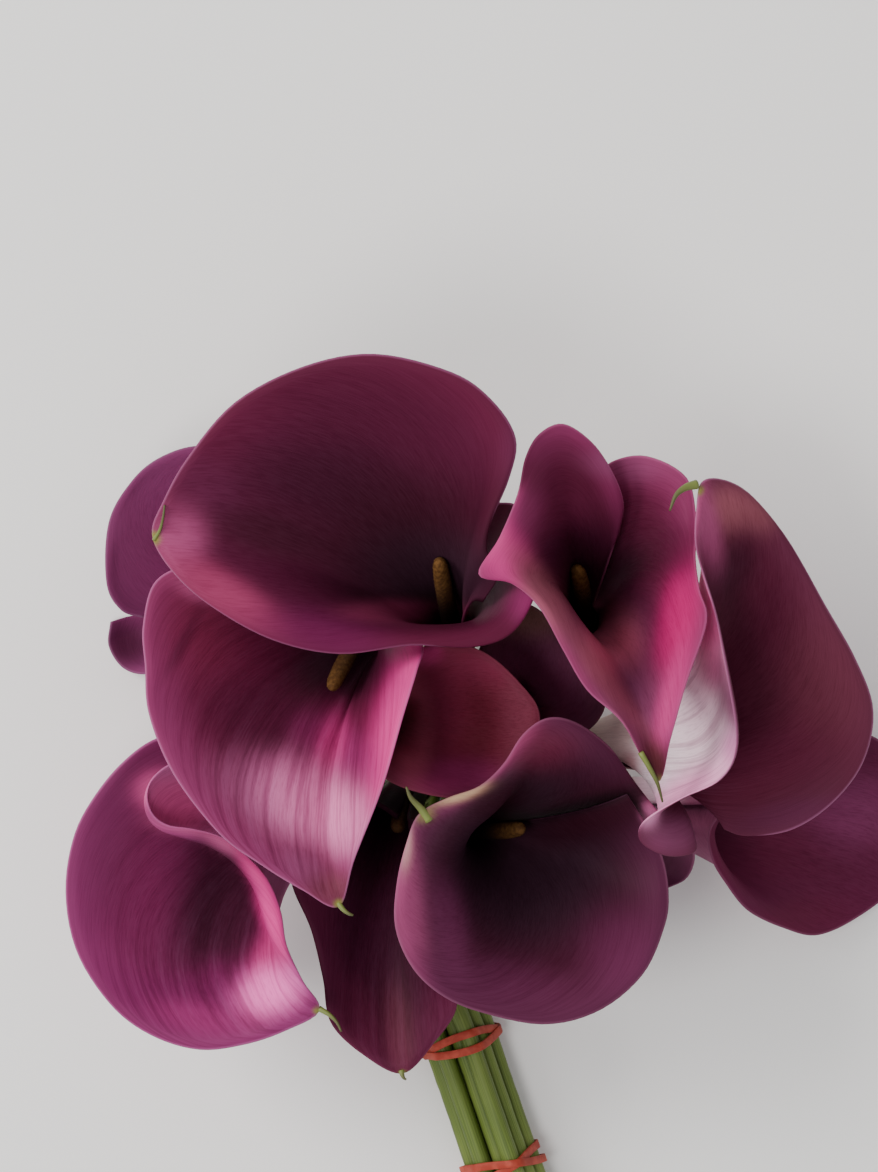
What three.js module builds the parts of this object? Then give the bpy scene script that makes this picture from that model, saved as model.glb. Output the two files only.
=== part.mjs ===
// A tied bunch of eleven purple mini calla lilies, lying on a surface. Millimetres, +Z up.
// Each flower is one spathe, a sheet rolled into a funnel with two overlapping margins, round one
// spadix, on one stem. Two rubber bands hold the stems. The mouths look up, the stems run to -Y.
import * as THREE from "three";

// Sizes that drive the whole bunch.
const STEM_RADIUS = 2.3;
const STEM_PITCH = 5; // between neighbouring stems in a row of the bundle
const ROW_RISE = 4.35; // between two rows of the bundle
const GAP = 0.3; // between pieces that touch
const COLLAR_RADIUS = 6.3; // the swelling at the top of a stem, under the spathe
const COLLAR_LENGTH = 11;
const COLLAR_TAPER = 0.6; // under 1 it narrows fastest at its top
const BASE_RADIUS = 5.0; // of the spathe's foot, at the middle of its overlap
const BASE_SPREAD = 2.3; // from the inner to the outer margin there
const FOOT_THICKNESS = 1.1;
const RIM_THICKNESS = 0.7;
const SPADIX_RADIUS = 2.7;
const BAND_WIDTH = 3.2;
const BAND_THICKNESS = 0.8;
const BAND_SLACK = 0.35; // between a band and the stems

// The bundle: where its axis passes the upper band, and which way it runs from there.
const TIE_POINT = new THREE.Vector2(5.8, -119.7);
const BUNDLE_TURN = THREE.MathUtils.degToRad(19); // from -Y towards +X
const LOWER_BAND_AT = 34; // along the bundle, from the upper band
const STEM_END_AT = 205;
const STEM_FAN = 1.5; // how far the cut ends spread, against the tied bundle
const NECK_AT = 28; // above the upper band, where the stems begin to part
const NECK_FAN = 1.15;
const END_STAGGER = 5; // of the cut ends, which no two stems have in line
const END_TURN = 2.4;

// Places are read in plan from straight above, so what lies nearer the eye is drawn in towards
// the middle of the view.
const EYE_HEIGHT = 1400;
const EYE_LEVEL = 80; // the height at which plan places are true

// Resolution of the sheets and rods.
const SHEET_COLUMNS = 26;
const SHEET_ROWS = 5;
const ROLL_ROWS = 2;
const ROLL_LENGTH = 2; // from the blade to the rim
const ROLL_EASE = 8; // the roll fades out over one part in so many of the rim at both margins
const STEM_SIDES = 7;
const STEM_STEPS = 2; // between two points of a route
const SPADIX_SIDES = 7;

const SPATHE = { color: 0x8a2458, roughness: 0.5, metalness: 0 };
const SPADIX = { color: 0xb98a35, roughness: 0.8, metalness: 0 };
const STEM = { color: 0x6d8a3a, roughness: 0.45, metalness: 0 };
const BAND = { color: 0xb8402e, roughness: 0.7, metalness: 0 };

// The flowers. foot is where the spathe meets its stem and lean is the tube's direction there.
// centre is the throat in plan, and face is the way the mouth looks. rim runs along the outer edge
// from the inner margin, by the apex, to the outer margin. Each point is plan x, plan y and height,
// then, where they differ from the flower's own, its flare, the angle between face and the sheet as
// it reaches the rim, and its reach, how much of the way to the rim the sheet runs at that angle.
// climb is how far the tube runs on before it opens, and squareness how far the sheet turns to meet
// the rim at a right angle, against running straight out from the tube's axis. roll is how far the
// rolled edge turns outwards. tip is the top of the spadix. route is the stem's way down from the
// collar to the bundle, and slot its place in the bundle, as pitches across and row.
const FLOWERS = {
  A: {
    foot: [4, -12, 42],
    lean: [-0.1, 0.25, 0.96],
    centre: [4, 4],
    face: [-0.08, 0.02, 1],
    flare: 58,
    reach: 0.5,
    climb: 0.45,
    squareness: 0.25,
    roll: 60,
    tip: [0, 7, 76],
    route: [[5.5, -20, 24], [5, -40, 12], [2, -62, 11.5]],
    slot: [0, 2],
    rim: [
      [11, -4, 82], [15, 3, 92], [12, 9, 99], [13, 16, 104], [17.5, 27, 109], [19, 37, 112],
      [13, 46.5, 114], [3, 53.5, 115], [-16, 58, 114], [-34, 55, 112], [-51, 46, 109],
      [-63, 32, 105], [-69, 21, 101], [-71.5, 13, 98, 75], [-67, 4.5, 98, 70], [-58, -4, 99, 75],
      [-42, -13, 98, 75], [-25, -17, 97, 75], [-7, -15, 95, 75], [8, -15.5, 92, 75],
      [17.5, -12.5, 91, 65], [23, -5, 90, 50], [25, 4, 87], [24, 13, 82], [20, 20, 76], [13, 21, 71],
    ],
  },
  I: {
    foot: [35, -9, 40],
    lean: [0.1, 0.25, 0.96],
    centre: [40, 8],
    face: [0.05, -0.05, 1],
    flare: 55,
    reach: 0.5,
    climb: 0.45,
    squareness: 0,
    roll: 50,
    tip: [34.3, 4.8, 73],
    route: [[31, -20, 17], [26.5, -33, 6.5], [15, -58, 3.6]],
    slot: [1, 0],
    rim: [
      [45, 13, 80], [46, 21, 88], [43, 29, 95], [38, 36, 99], [31, 40.5, 101], [25, 38, 102],
      [21.5, 32, 103, 70, 0.4], [19.5, 23, 107, 85, 0.35], [15, 12, 113, 90, 0.4],
      [10, 3, 116, 90, 0.4], [18, 1, 115, 90, 0.3], [25, -5, 113, 90, 0.28],
      [31, -16, 110, 85, 0.35], [37, -26, 107, 70], [46, -34.5, 103], [54.5, -49, 98, 75],
      [58, -38, 100, 50], [62, -24, 104, 45], [67, -9, 106, 40], [65.2, -1, 105, 35],
      [64.2, 7, 101, 35], [64.4, 16, 96, 45], [62, 27, 94], [52, 32.5, 90], [43, 31, 85],
      [39, 26, 78],
    ],
  },
  C: {
    foot: [-12, -6, 34],
    lean: [-0.45, -0.3, 0.84],
    centre: [-22, -22],
    face: [-0.2, -0.1, 1],
    flare: 58,
    reach: 0.5,
    climb: 0.45,
    squareness: 0.25,
    roll: 55,
    tip: [-27, -26, 66],
    route: [[-2.5, -10, 12], [-1, -26, 5], [-1.5, -48, 3.6]],
    slot: [0, 0],
    rim: [
      [-27, -8, 70], [-36, -2, 74], [-50, 2, 76], [-62, 5, 75], [-71, 1, 75], [-74, -10, 76],
      [-73.5, -20, 78], [-72.5, -32, 84], [-66, -47.5, 90], [-55, -62, 94], [-44, -70, 95],
      [-34, -76, 94], [-25, -80, 92, 70], [-21, -68, 95, 35], [-14, -50, 98, 30],
      [-9, -33, 98, 30], [-5.5, -21.5, 95], [-4, -15, 84], [-8, -11, 72],
      [-14, -9, 62],
    ],
  },
  D: {
    foot: [-22, -56, 20],
    lean: [-0.8, -0.15, 0.58],
    centre: [-58, -80],
    face: [-0.25, -0.1, 1],
    flare: 52,
    reach: 0.5,
    climb: 0.5,
    squareness: 0.25,
    roll: 60,
    tip: [-44, -66, 42],
    route: [[-12, -64, 9.5]],
    slot: [-1.5, 1],
    rim: [
      [-50, -46, 52, 30, 0.3], [-58, -43, 60, 30, 0.3], [-65, -43.5, 66, 35, 0.3],
      [-70.5, -47, 69, 40, 0.3], [-72.8, -52, 70, 50, 0.3], [-71.5, -57, 70.5, 60, 0.3],
      [-67.5, -60, 71, 70, 0.3], [-61, -61, 72, 75, 0.3], [-54, -63, 73, 80, 0.3],
      [-47.5, -68, 74, 85, 0.3], [-42.5, -74, 75, 90, 0.3], [-39.5, -81.5, 75, 90, 0.3],
      [-38, -90, 75, 85, 0.35], [-34, -99, 74, 80, 0.4], [-30, -106, 72, 80], [-38, -111, 66],
      [-48, -114.5, 62], [-60, -116, 58], [-72, -112.5, 54], [-82, -105, 50], [-90, -92, 46],
      [-93, -76, 44], [-91, -62, 44], [-85, -51, 45], [-78, -43, 46], [-70, -38, 44],
      [-60, -37, 41],
    ],
  },
  F: {
    foot: [8, -60, 30],
    lean: [0.28, -0.08, 0.95],
    centre: [22, -68],
    face: [0.15, -0.05, 1],
    flare: 55,
    reach: 0.5,
    climb: 0.42,
    squareness: 0.25,
    roll: 50,
    tip: [21, -60.5, 60],
    route: [],
    slot: [0.5, 3],
    rim: [
      [47, -52, 77], [52, -60, 70], [56, -68, 65], [57.5, -77, 65], [56.5, -85, 68],
      [51, -97, 74], [40, -106, 78],
      [26, -109.5, 82], [10, -106.5, 88], [0, -102, 92], [-7, -95, 95], [-11, -85, 97],
      [-10.5, -74, 99], [-8, -64, 101, 70], [-5, -57, 102, 90], [2, -53, 101, 95, 0.4],
      [10, -50, 100, 90, 0.4], [16, -44.5, 99, 70], [21, -37, 97], [27, -33, 96], [34, -34, 93],
      [42.5, -40, 86], [49, -49, 77], [55, -56.5, 67], [61, -62, 59], [64, -67, 52], [62, -73, 46],
      [56, -76, 43],
    ],
  },
  G: {
    foot: [-7, -50, 26],
    lean: [-0.15, -0.35, 0.92],
    centre: [-12, -66],
    face: [-0.05, -0.25, 1],
    flare: 50,
    reach: 0.5,
    climb: 0.45,
    squareness: 0.25,
    roll: 45,
    tip: [-10.5, -61, 47],
    route: [[-5.5, -60, 12.5]],
    slot: [-1, 2],
    rim: [
      [-6, -58, 56], [-4, -68, 62], [-3, -82, 66], [2, -95, 67], [4.5, -105, 66], [-1, -114, 62],
      [-9, -122, 59, 70], [-19, -117, 59], [-27, -109, 60], [-29, -98, 61], [-32, -86, 62],
      [-37, -74, 62], [-36, -63, 61], [-28, -55, 58], [-18, -53, 54], [-10, -57, 50],
    ],
  },
  H: {
    foot: [-16, -32, 26],
    lean: [0.25, -0.05, 0.97],
    centre: [-9, -34],
    face: [0.15, -0.1, 1],
    flare: 58,
    reach: 0.5,
    climb: 0.42,
    squareness: 0.25,
    roll: 45,
    tip: [-12, -34, 52],
    route: [[-14.5, -43, 8], [-6, -62, 7]],
    slot: [-0.5, 1],
    rim: [
      [-16, -38, 54], [-19, -33, 60], [-16, -26, 66], [-6, -16, 73], [4, -14.5, 76], [12, -17, 78],
      [20, -24, 78], [25, -32, 77, 70], [23, -43, 75], [14, -50.5, 73], [4, -53, 71], [-7, -51, 68],
      [-15, -47, 62], [-20, -40, 56], [-19, -34, 52],
    ],
  },
  J: {
    foot: [38, -39, 28],
    lean: [0.6, 0.14, 0.78],
    centre: [84, -20],
    face: [0.5, -0.05, 1],
    flare: 52,
    reach: 0.5,
    climb: 0.42,
    squareness: 0.1,
    roll: 55,
    tip: [62, -22, 66],
    route: [[22, -46, 18.5], [12, -63, 16]],
    slot: [1, 2],
    rim: [
      [64, -62, 66], [64, -66.5, 71, 60], [57, -67.5, 75, 90, 0.4], [50.5, -64, 79, 100, 0.35],
      [51, -59, 84, 95, 0.35], [60, -53.5, 91, 60, 0.35], [70, -48.5, 97, 35, 0.4],
      [74, -40, 101, 25], [72.5, -25, 103, 25], [69.5, -9, 104, 25], [65.8, 3, 105, 30, 0.35],
      [64, 11, 107, 50, 0.25], [64.2, 19, 107, 80, 0.35], [65.6, 26, 106, 85], [71, 26.5, 103, 80],
      [78, 22.5, 99, 70], [87, 12, 93], [96, -4, 86], [104, -18, 78], [108.5, -31, 71],
      [106, -44, 65], [98, -54.5, 61], [88, -61, 59], [77, -62.5, 56],
      [71.5, -61, 53],
    ],
  },
  K: {
    foot: [31, -52, 14],
    lean: [0.95, -0.15, 0.27],
    centre: [88, -60],
    face: [0.3, -0.2, 1],
    flare: 50,
    reach: 0.5,
    climb: 0.45,
    squareness: 0.25,
    roll: 45,
    tip: [60, -58, 22],
    route: [[14.5, -62, 7.8]],
    slot: [1.5, 1],
    rim: [
      [77, -53, 29, 35], [70, -57, 33, 35], [67, -62, 36.5, 40], [68, -68, 36], [71, -73.5, 34.5],
      [77, -81, 30], [86, -85.5, 22], [95, -87.5, 15, 70], [105, -82.5, 8], [114, -75, 3],
      [118, -64, 1], [117, -50, 4], [112, -40, 10], [103, -36, 17], [92, -37, 22], [82, -42, 27],
      [73, -47, 31], [66, -53, 35],
    ],
  },
  B: {
    foot: [-31, -12, 14.5],
    lean: [-0.8, 0.4, 0.42],
    centre: [-62, 4],
    face: [-0.2, -0.05, 1],
    flare: 52,
    reach: 0.5,
    climb: 0.45,
    squareness: 0.25,
    roll: 50,
    tip: [-45.5, -5, 21.5],
    route: [[-15, -19, 7.5], [-16, -36, 3.8], [-16, -58, 3.6]],
    slot: [-1, 0],
    rim: [
      [-74, -8, 25, 50], [-79.5, -6, 28, 50], [-83.2, 1, 31], [-82.5, 16, 33],
      [-77, 26, 36], [-70, 32, 37], [-60, 35, 37, 70], [-50, 32, 36], [-43, 22, 35], [-44, 10, 33],
      [-49, -2, 29, 40], [-57, -12, 22, 40], [-66, -18.5, 14], [-73, -22, 8], [-79, -20.5, 4],
      [-82.6, -15, 2.8, 50], [-82.2, -9, 4, 50],
    ],
  },
  L: {
    foot: [17, -31, 22],
    lean: [0.08, 0.06, 1],
    centre: [21, -28],
    face: [0, 0, 1],
    flare: 45,
    reach: 0.5,
    climb: 0.4,
    squareness: 0.25,
    roll: 30,
    tip: [19, -29, 42],
    route: [[12.5, -44, 8], [7, -62, 8]],
    slot: [0.5, 1],
    rim: [
      [19, -33, 38, 20], [26, -37, 46, 30], [33, -38, 50], [38.5, -35, 52], [41.5, -30, 53],
      [40.5, -25, 54], [35.5, -18, 57], [29, -9.5, 59, 40], [22, -4.5, 60, 40], [14.5, -8, 59, 40],
      [10, -16, 56], [7.5, -27, 51], [9, -37, 48], [15, -43.5, 47], [22, -46, 46], [29, -45, 46],
    ],
  },
};

const UP = new THREE.Vector3(0, 0, 1);
const along = new THREE.Vector2(Math.sin(BUNDLE_TURN), -Math.cos(BUNDLE_TURN));
const across = new THREE.Vector2(-along.y, along.x);
const bottomRow = BAND_THICKNESS + BAND_SLACK + STEM_RADIUS;

// A plan place and a height, moved along the line of sight to that height.
function seen([x, y, z]) {
  const nearness = (EYE_HEIGHT + EYE_LEVEL - z) / EYE_HEIGHT;
  return new THREE.Vector3(x * nearness, y * nearness, z);
}

// A point of the bundle: how far along it, how many pitches across, and its height.
function inBundle(distance, pitches, height) {
  const aside = pitches * STEM_PITCH;
  return new THREE.Vector3(
    TIE_POINT.x + along.x * distance + across.x * aside,
    TIE_POINT.y + along.y * distance + across.y * aside,
    height,
  );
}

function solid(name, positions, triangles, look) {
  const geometry = new THREE.BufferGeometry();
  geometry.setAttribute("position", new THREE.Float32BufferAttribute(positions, 3));
  geometry.setIndex(triangles);
  geometry.computeVertexNormals();
  const mesh = new THREE.Mesh(geometry, new THREE.MeshStandardMaterial(look));
  mesh.name = name;
  return mesh;
}

// A round rod along a list of centres, with one radius for each, closed by a fan at both ends.
function rod(name, centres, radii, sides, look) {
  const positions = [];
  const triangles = [];
  const last = centres.length - 1;
  const forward = centres.map((centre, i) =>
    centres[Math.min(i + 1, last)].clone().sub(centres[Math.max(i - 1, 0)]).normalize(),
  );
  let side = new THREE.Vector3().crossVectors(forward[0], UP);
  if (side.lengthSq() < 0.01) side = new THREE.Vector3(1, 0, 0);
  centres.forEach((centre, i) => {
    side = side.clone().addScaledVector(forward[i], -side.dot(forward[i])).normalize();
    const other = new THREE.Vector3().crossVectors(forward[i], side);
    for (let k = 0; k < sides; k++) {
      const turn = (2 * Math.PI * k) / sides;
      const point = centre.clone();
      point.addScaledVector(side, radii[i] * Math.cos(turn));
      point.addScaledVector(other, radii[i] * Math.sin(turn));
      positions.push(...point.toArray());
    }
  });
  for (let i = 0; i < last; i++) {
    for (let k = 0; k < sides; k++) {
      const here = i * sides + k;
      const beside = i * sides + ((k + 1) % sides);
      triangles.push(here, beside, beside + sides, here, beside + sides, here + sides);
    }
  }
  const start = positions.length / 3;
  positions.push(...centres[0].toArray(), ...centres[last].toArray());
  for (let k = 0; k < sides; k++) {
    const next = (k + 1) % sides;
    triangles.push(start, next, k, start + 1, last * sides + k, last * sides + next);
  }
  return solid(name, positions, triangles, look);
}

// The rim as a curve, with the flare and the reach along it.
function rimOf(flower) {
  const curve = new THREE.CatmullRomCurve3(flower.rim.map(seen), false, "catmullrom", 0.5);
  const flares = flower.rim.map((point) => THREE.MathUtils.degToRad(point[3] ?? flower.flare));
  const reaches = flower.rim.map((point) => point[4] ?? flower.reach);
  const manner = (t) => {
    const place = t * (flares.length - 1);
    const low = Math.min(Math.floor(place), flares.length - 2);
    const between = (list) => THREE.MathUtils.lerp(list[low], list[low + 1], place - low);
    return { flare: between(flares), reach: between(reaches) };
  };
  return { curve, manner };
}

// The middle surface of a spathe as rows of points, from the foot to the rolled edge.
function sheetOf(flower) {
  const { curve, manner } = rimOf(flower);
  const face = new THREE.Vector3(...flower.face).normalize();
  const lean = new THREE.Vector3(...flower.lean).normalize();
  const foot = seen(flower.foot);
  const tilt = new THREE.Quaternion().setFromUnitVectors(face, lean);
  const first = new THREE.Vector3(1, 0, 0).addScaledVector(face, -face.x).normalize();
  const second = new THREE.Vector3().crossVectors(face, first);
  const rims = [];
  const turns = [];
  const lengths = [];
  for (let i = 0; i <= SHEET_COLUMNS; i++) {
    const point = curve.getPoint(i / SHEET_COLUMNS);
    const middle = seen([...flower.centre, point.z]);
    const spoke = point.clone().sub(middle);
    let turn = Math.atan2(spoke.dot(second), spoke.dot(first));
    if (i > 0) {
      const before = turns[i - 1];
      turn = before + THREE.MathUtils.euclideanModulo(turn - before + Math.PI, 2 * Math.PI) - Math.PI;
    }
    lengths.push(i > 0 ? lengths[i - 1] + point.distanceTo(rims[i - 1]) : 0);
    turns.push(turn);
    rims.push(point);
  }
  const wholeTurn = turns[SHEET_COLUMNS] - turns[0];
  const hand = Math.sign(wholeTurn);
  const columns = rims.map((rim, i) => {
    const share = lengths[i] / lengths[SHEET_COLUMNS];
    const turn = turns[0] + wholeTurn * share;
    const radius = BASE_RADIUS + BASE_SPREAD * (share - 0.5);
    const spoke = first.clone().multiplyScalar(Math.cos(turn)).addScaledVector(second, Math.sin(turn));
    const start = foot.clone().addScaledVector(spoke.applyQuaternion(tilt), radius);
    const beside = rims[Math.min(i + 1, SHEET_COLUMNS)].clone().sub(rims[Math.max(i - 1, 0)]);
    const square = beside.cross(face).multiplyScalar(hand).normalize();
    const axisPoint = foot.clone().addScaledVector(lean, rim.clone().sub(foot).dot(lean));
    const radial = rim.clone().sub(axisPoint);
    radial.addScaledVector(face, -radial.dot(face)).normalize();
    const outward = radial.lerp(square, flower.squareness).normalize();
    const { flare, reach } = manner(i / SHEET_COLUMNS);
    const heading = (angle) =>
      face.clone().multiplyScalar(Math.cos(angle)).addScaledVector(outward, Math.sin(angle));
    // The rolled edge turns on from the flare, step by step, and ends at the rim's own place.
    const ease = Math.min(1, ROLL_EASE * share, ROLL_EASE * (1 - share));
    const bend = THREE.MathUtils.degToRad(flower.roll * ease) / ROLL_ROWS;
    const steps = [];
    for (let k = 1; k <= ROLL_ROWS; k++) {
      steps.push(heading(flare + bend * (k - 0.5)).multiplyScalar(ROLL_LENGTH / ROLL_ROWS));
    }
    const crest = rim.clone();
    steps.forEach((step) => crest.sub(step));
    const climb = crest.clone().sub(start).dot(lean);
    const aside = crest.clone().sub(start).addScaledVector(lean, -climb).length();
    const leave = start.clone().addScaledVector(lean, flower.climb * climb);
    const near = crest.clone().addScaledVector(heading(flare), -reach * aside);
    const blade = new THREE.CubicBezierCurve3(start, leave, near, crest);
    const points = [];
    for (let k = 0; k <= SHEET_ROWS; k++) points.push(blade.getPoint(k / SHEET_ROWS));
    const edge = crest.clone();
    steps.forEach((step) => points.push(edge.add(step).clone()));
    return points;
  });
  return { columns, hand };
}

// A spathe: its middle surface thickened to both sides, thinner towards the rim.
function spathe(name, flower) {
  const { columns, hand } = sheetOf(flower);
  const lean = new THREE.Vector3(...flower.lean).normalize();
  const rows = columns[0].length - 1;
  const last = columns.length - 1;
  const at = (i, k) => columns[THREE.MathUtils.clamp(i, 0, last)][THREE.MathUtils.clamp(k, 0, rows)];
  const positions = [];
  for (const face of [1, -1]) {
    for (let i = 0; i <= last; i++) {
      for (let k = 0; k <= rows; k++) {
        const round = at(i + 1, k).clone().sub(at(i - 1, k));
        const up = at(i, k + 1).clone().sub(at(i, k - 1));
        const normal = round.cross(up).multiplyScalar(hand);
        if (k === 0) normal.addScaledVector(lean, -normal.dot(lean));
        normal.normalize();
        const half = THREE.MathUtils.lerp(FOOT_THICKNESS, RIM_THICKNESS, k / rows) / 2;
        positions.push(...at(i, k).clone().addScaledVector(normal, half * face).toArray());
      }
    }
  }
  const triangles = [];
  const stride = rows + 1;
  const back = (last + 1) * stride;
  const add = (a, b, c) => (hand > 0 ? triangles.push(a, b, c) : triangles.push(a, c, b));
  for (let i = 0; i < last; i++) {
    for (let k = 0; k < rows; k++) {
      const a = i * stride + k;
      const b = a + stride;
      const straight = at(i, k).distanceTo(at(i + 1, k + 1)) < at(i + 1, k).distanceTo(at(i, k + 1));
      const pair = straight ? [a, b, b + 1, a, b + 1, a + 1] : [a, b, a + 1, b, b + 1, a + 1];
      add(pair[0], pair[1], pair[2]);
      add(pair[3], pair[4], pair[5]);
      add(pair[0] + back, pair[2] + back, pair[1] + back);
      add(pair[3] + back, pair[5] + back, pair[4] + back);
    }
  }
  const seam = (a, b) => {
    add(a, a + back, b + back);
    add(a, b + back, b);
  };
  for (let i = 0; i < last; i++) {
    seam(i * stride, (i + 1) * stride);
    seam((i + 1) * stride + rows, i * stride + rows);
  }
  for (let k = 0; k < rows; k++) {
    seam(k + 1, k);
    seam(last * stride + k, last * stride + k + 1);
  }
  return solid(name, positions, triangles, SPATHE);
}

// A spadix: a blunt rod from the stem's top to its tip.
function spadix(name, flower) {
  const lean = new THREE.Vector3(...flower.lean).normalize();
  const foot = seen(flower.foot).addScaledVector(lean, GAP);
  const tip = seen(flower.tip);
  const middle = foot.clone().addScaledVector(lean, 0.5 * tip.distanceTo(foot));
  const curve = new THREE.QuadraticBezierCurve3(foot, middle, tip);
  const shape = [1, 0.95, 0.9, 0.86, 0.75, 0.35];
  const stations = [0, 0.25, 0.5, 0.8, 0.95, 1];
  const centres = stations.map((t) => curve.getPoint(t));
  return rod(name, centres, shape.map((s) => s * SPADIX_RADIUS), SPADIX_SIDES, SPADIX);
}

// A stem: from its cut end through both bands and up to the collar under the spathe.
function stem(name, flower, order) {
  const [pitches, row] = flower.slot;
  const height = bottomRow + row * ROW_RISE;
  const lean = new THREE.Vector3(...flower.lean).normalize();
  const top = seen(flower.foot).addScaledVector(lean, -GAP);
  const endAt = STEM_END_AT + END_STAGGER * Math.sin(END_TURN * order);
  const points = [
    inBundle(endAt, pitches * STEM_FAN, height - BAND_THICKNESS),
    inBundle((LOWER_BAND_AT + endAt) / 2, pitches * (1 + STEM_FAN) / 2, height - BAND_THICKNESS / 2),
    inBundle(LOWER_BAND_AT, pitches, height),
    inBundle(0, pitches, height),
    inBundle(-NECK_AT, pitches * NECK_FAN, bottomRow + row * ROW_RISE * NECK_FAN),
    ...flower.route.map((place) => new THREE.Vector3(...place)).reverse(),
    top.clone().addScaledVector(lean, -COLLAR_LENGTH),
    top.clone().addScaledVector(lean, -COLLAR_LENGTH / 5),
    top,
  ];
  const curve = new THREE.CatmullRomCurve3(points, false, "centripetal");
  const steps = (points.length - 1) * STEM_STEPS;
  const centres = [];
  const radii = [];
  for (let i = 0; i <= steps; i++) {
    centres.push(curve.getPoint(i / steps));
    const fromTop = Math.min(1, centres[i].distanceTo(top) / COLLAR_LENGTH);
    radii.push(THREE.MathUtils.lerp(COLLAR_RADIUS, STEM_RADIUS, fromTop ** COLLAR_TAPER));
  }
  return rod(name, centres, radii, STEM_SIDES, STEM);
}

// The outline of a band: arcs round the outer stems of the bundle.
function bandOutline(radius) {
  const corners = [[1, 0], [1.5, 1], [0.5, 3], [-1, 2], [-1.5, 1], [-1, 0]];
  const places = corners.map(
    ([pitches, row]) => new THREE.Vector2(pitches * STEM_PITCH, row * ROW_RISE),
  );
  const outline = new THREE.Path();
  places.forEach((place, i) => {
    const before = places[(i + places.length - 1) % places.length];
    const after = places[(i + 1) % places.length];
    const from = Math.atan2(before.x - place.x, place.y - before.y);
    const to = Math.atan2(place.x - after.x, after.y - place.y);
    outline.absarc(place.x, place.y, radius, from, to, false);
  });
  return outline;
}

function band(name, distance) {
  const inner = STEM_RADIUS + BAND_SLACK;
  const ring = new THREE.Shape(bandOutline(inner + BAND_THICKNESS).getPoints(2));
  ring.holes.push(new THREE.Path(bandOutline(inner).getPoints(2)));
  const shape = new THREE.ExtrudeGeometry(ring, { depth: BAND_WIDTH, bevelEnabled: false, steps: 1 });
  const mesh = new THREE.Mesh(shape, new THREE.MeshStandardMaterial(BAND));
  mesh.name = name;
  const aside = new THREE.Vector3(across.x, across.y, 0);
  const onward = new THREE.Vector3(along.x, along.y, 0);
  mesh.quaternion.setFromRotationMatrix(new THREE.Matrix4().makeBasis(aside, UP, onward));
  mesh.position.copy(inBundle(distance - BAND_WIDTH / 2, 0, bottomRow));
  return mesh;
}

const bunch = new THREE.Group();
Object.entries(FLOWERS).forEach(([letter, flower], order) => {
  bunch.add(spathe("spathe_" + letter, flower));
  bunch.add(spadix("spadix_" + letter, flower));
  bunch.add(stem("stem_" + letter, flower, order));
});
bunch.add(band("band_upper", 0));
bunch.add(band("band_lower", LOWER_BAND_AT));

// The origin lies under the middle of the bunch, on the surface it rests on.
const part = new THREE.Group();
part.add(bunch);
const box = new THREE.Box3().setFromObject(part, true);
bunch.position.set(-(box.min.x + box.max.x) / 2, -(box.min.y + box.max.y) / 2, -box.min.z);

export default part;
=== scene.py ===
"""The looks of a tied bunch of eleven purple mini calla lilies, lying on a pale surface.

Lengths in the tables are millimetres. Plan places have their middle under the camera.
"""

import math

import bpy
import numpy as np
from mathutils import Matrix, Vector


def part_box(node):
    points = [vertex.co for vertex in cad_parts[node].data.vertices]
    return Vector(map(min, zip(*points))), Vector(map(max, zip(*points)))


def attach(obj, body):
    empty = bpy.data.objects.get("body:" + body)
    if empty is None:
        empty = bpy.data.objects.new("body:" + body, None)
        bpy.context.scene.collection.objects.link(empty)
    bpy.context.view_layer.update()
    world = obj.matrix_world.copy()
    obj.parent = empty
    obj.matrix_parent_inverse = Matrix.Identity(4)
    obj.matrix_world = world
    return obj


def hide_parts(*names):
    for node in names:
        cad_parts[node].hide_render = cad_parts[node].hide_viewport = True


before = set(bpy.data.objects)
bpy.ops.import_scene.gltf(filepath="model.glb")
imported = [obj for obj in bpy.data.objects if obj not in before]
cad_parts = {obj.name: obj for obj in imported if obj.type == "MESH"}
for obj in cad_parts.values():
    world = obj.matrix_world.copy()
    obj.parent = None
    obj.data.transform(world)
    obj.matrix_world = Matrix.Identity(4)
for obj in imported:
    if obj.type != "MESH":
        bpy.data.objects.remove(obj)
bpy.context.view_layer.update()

MM = 0.001

# The camera: its height over the level it is framed for, and the length the picture covers there.
EYE_HEIGHT = 1400.0
EYE_LEVEL = 80.0
PLAN_HEIGHT = 293.0
SENSOR_HEIGHT = 24.0
FAR_CLIP = 20

# The bundle, from the upper band's place down to the stems' cut ends.
TIE_POINT = np.array([5.8, -119.7])
BUNDLE_TURN = math.radians(19)
LOWER_BAND_AT = 34.0
STEM_RADIUS = 2.3
STEM_PITCH = 5.0
ROW_RISE = 4.35
STEM_FAN = 1.5
STEM_END_AT = 205.0
END_STAGGER = 5.0
END_TURN = 2.4
NECK_AT = 28.0
NECK_FAN = 1.15
GAP = 0.3
COLLAR_RADIUS = 6.3
COLLAR_LENGTH = 11.0
COLLAR_TAPER = 0.6
CAP_RISE = 0.05
CAP_SHARE = 0.85
CUT_SHARE = 0.93
STEM_UNEVENNESS = 0.012
STEM_SIDES = 20
STEM_RIBS = 3
STEM_STEPS = 12

# The two bands: thickness of the solid one, slack, and how each strand lies.
BAND_THICKNESS = 0.8
BAND_SLACK = 0.35
BAND_STEPS = 150
STRANDS = 2
STRAND_RISE = 0.55
STRAND_SWAY = 2.1
BOTTOM_ROW = BAND_THICKNESS + BAND_SLACK + STEM_RADIUS

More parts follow.
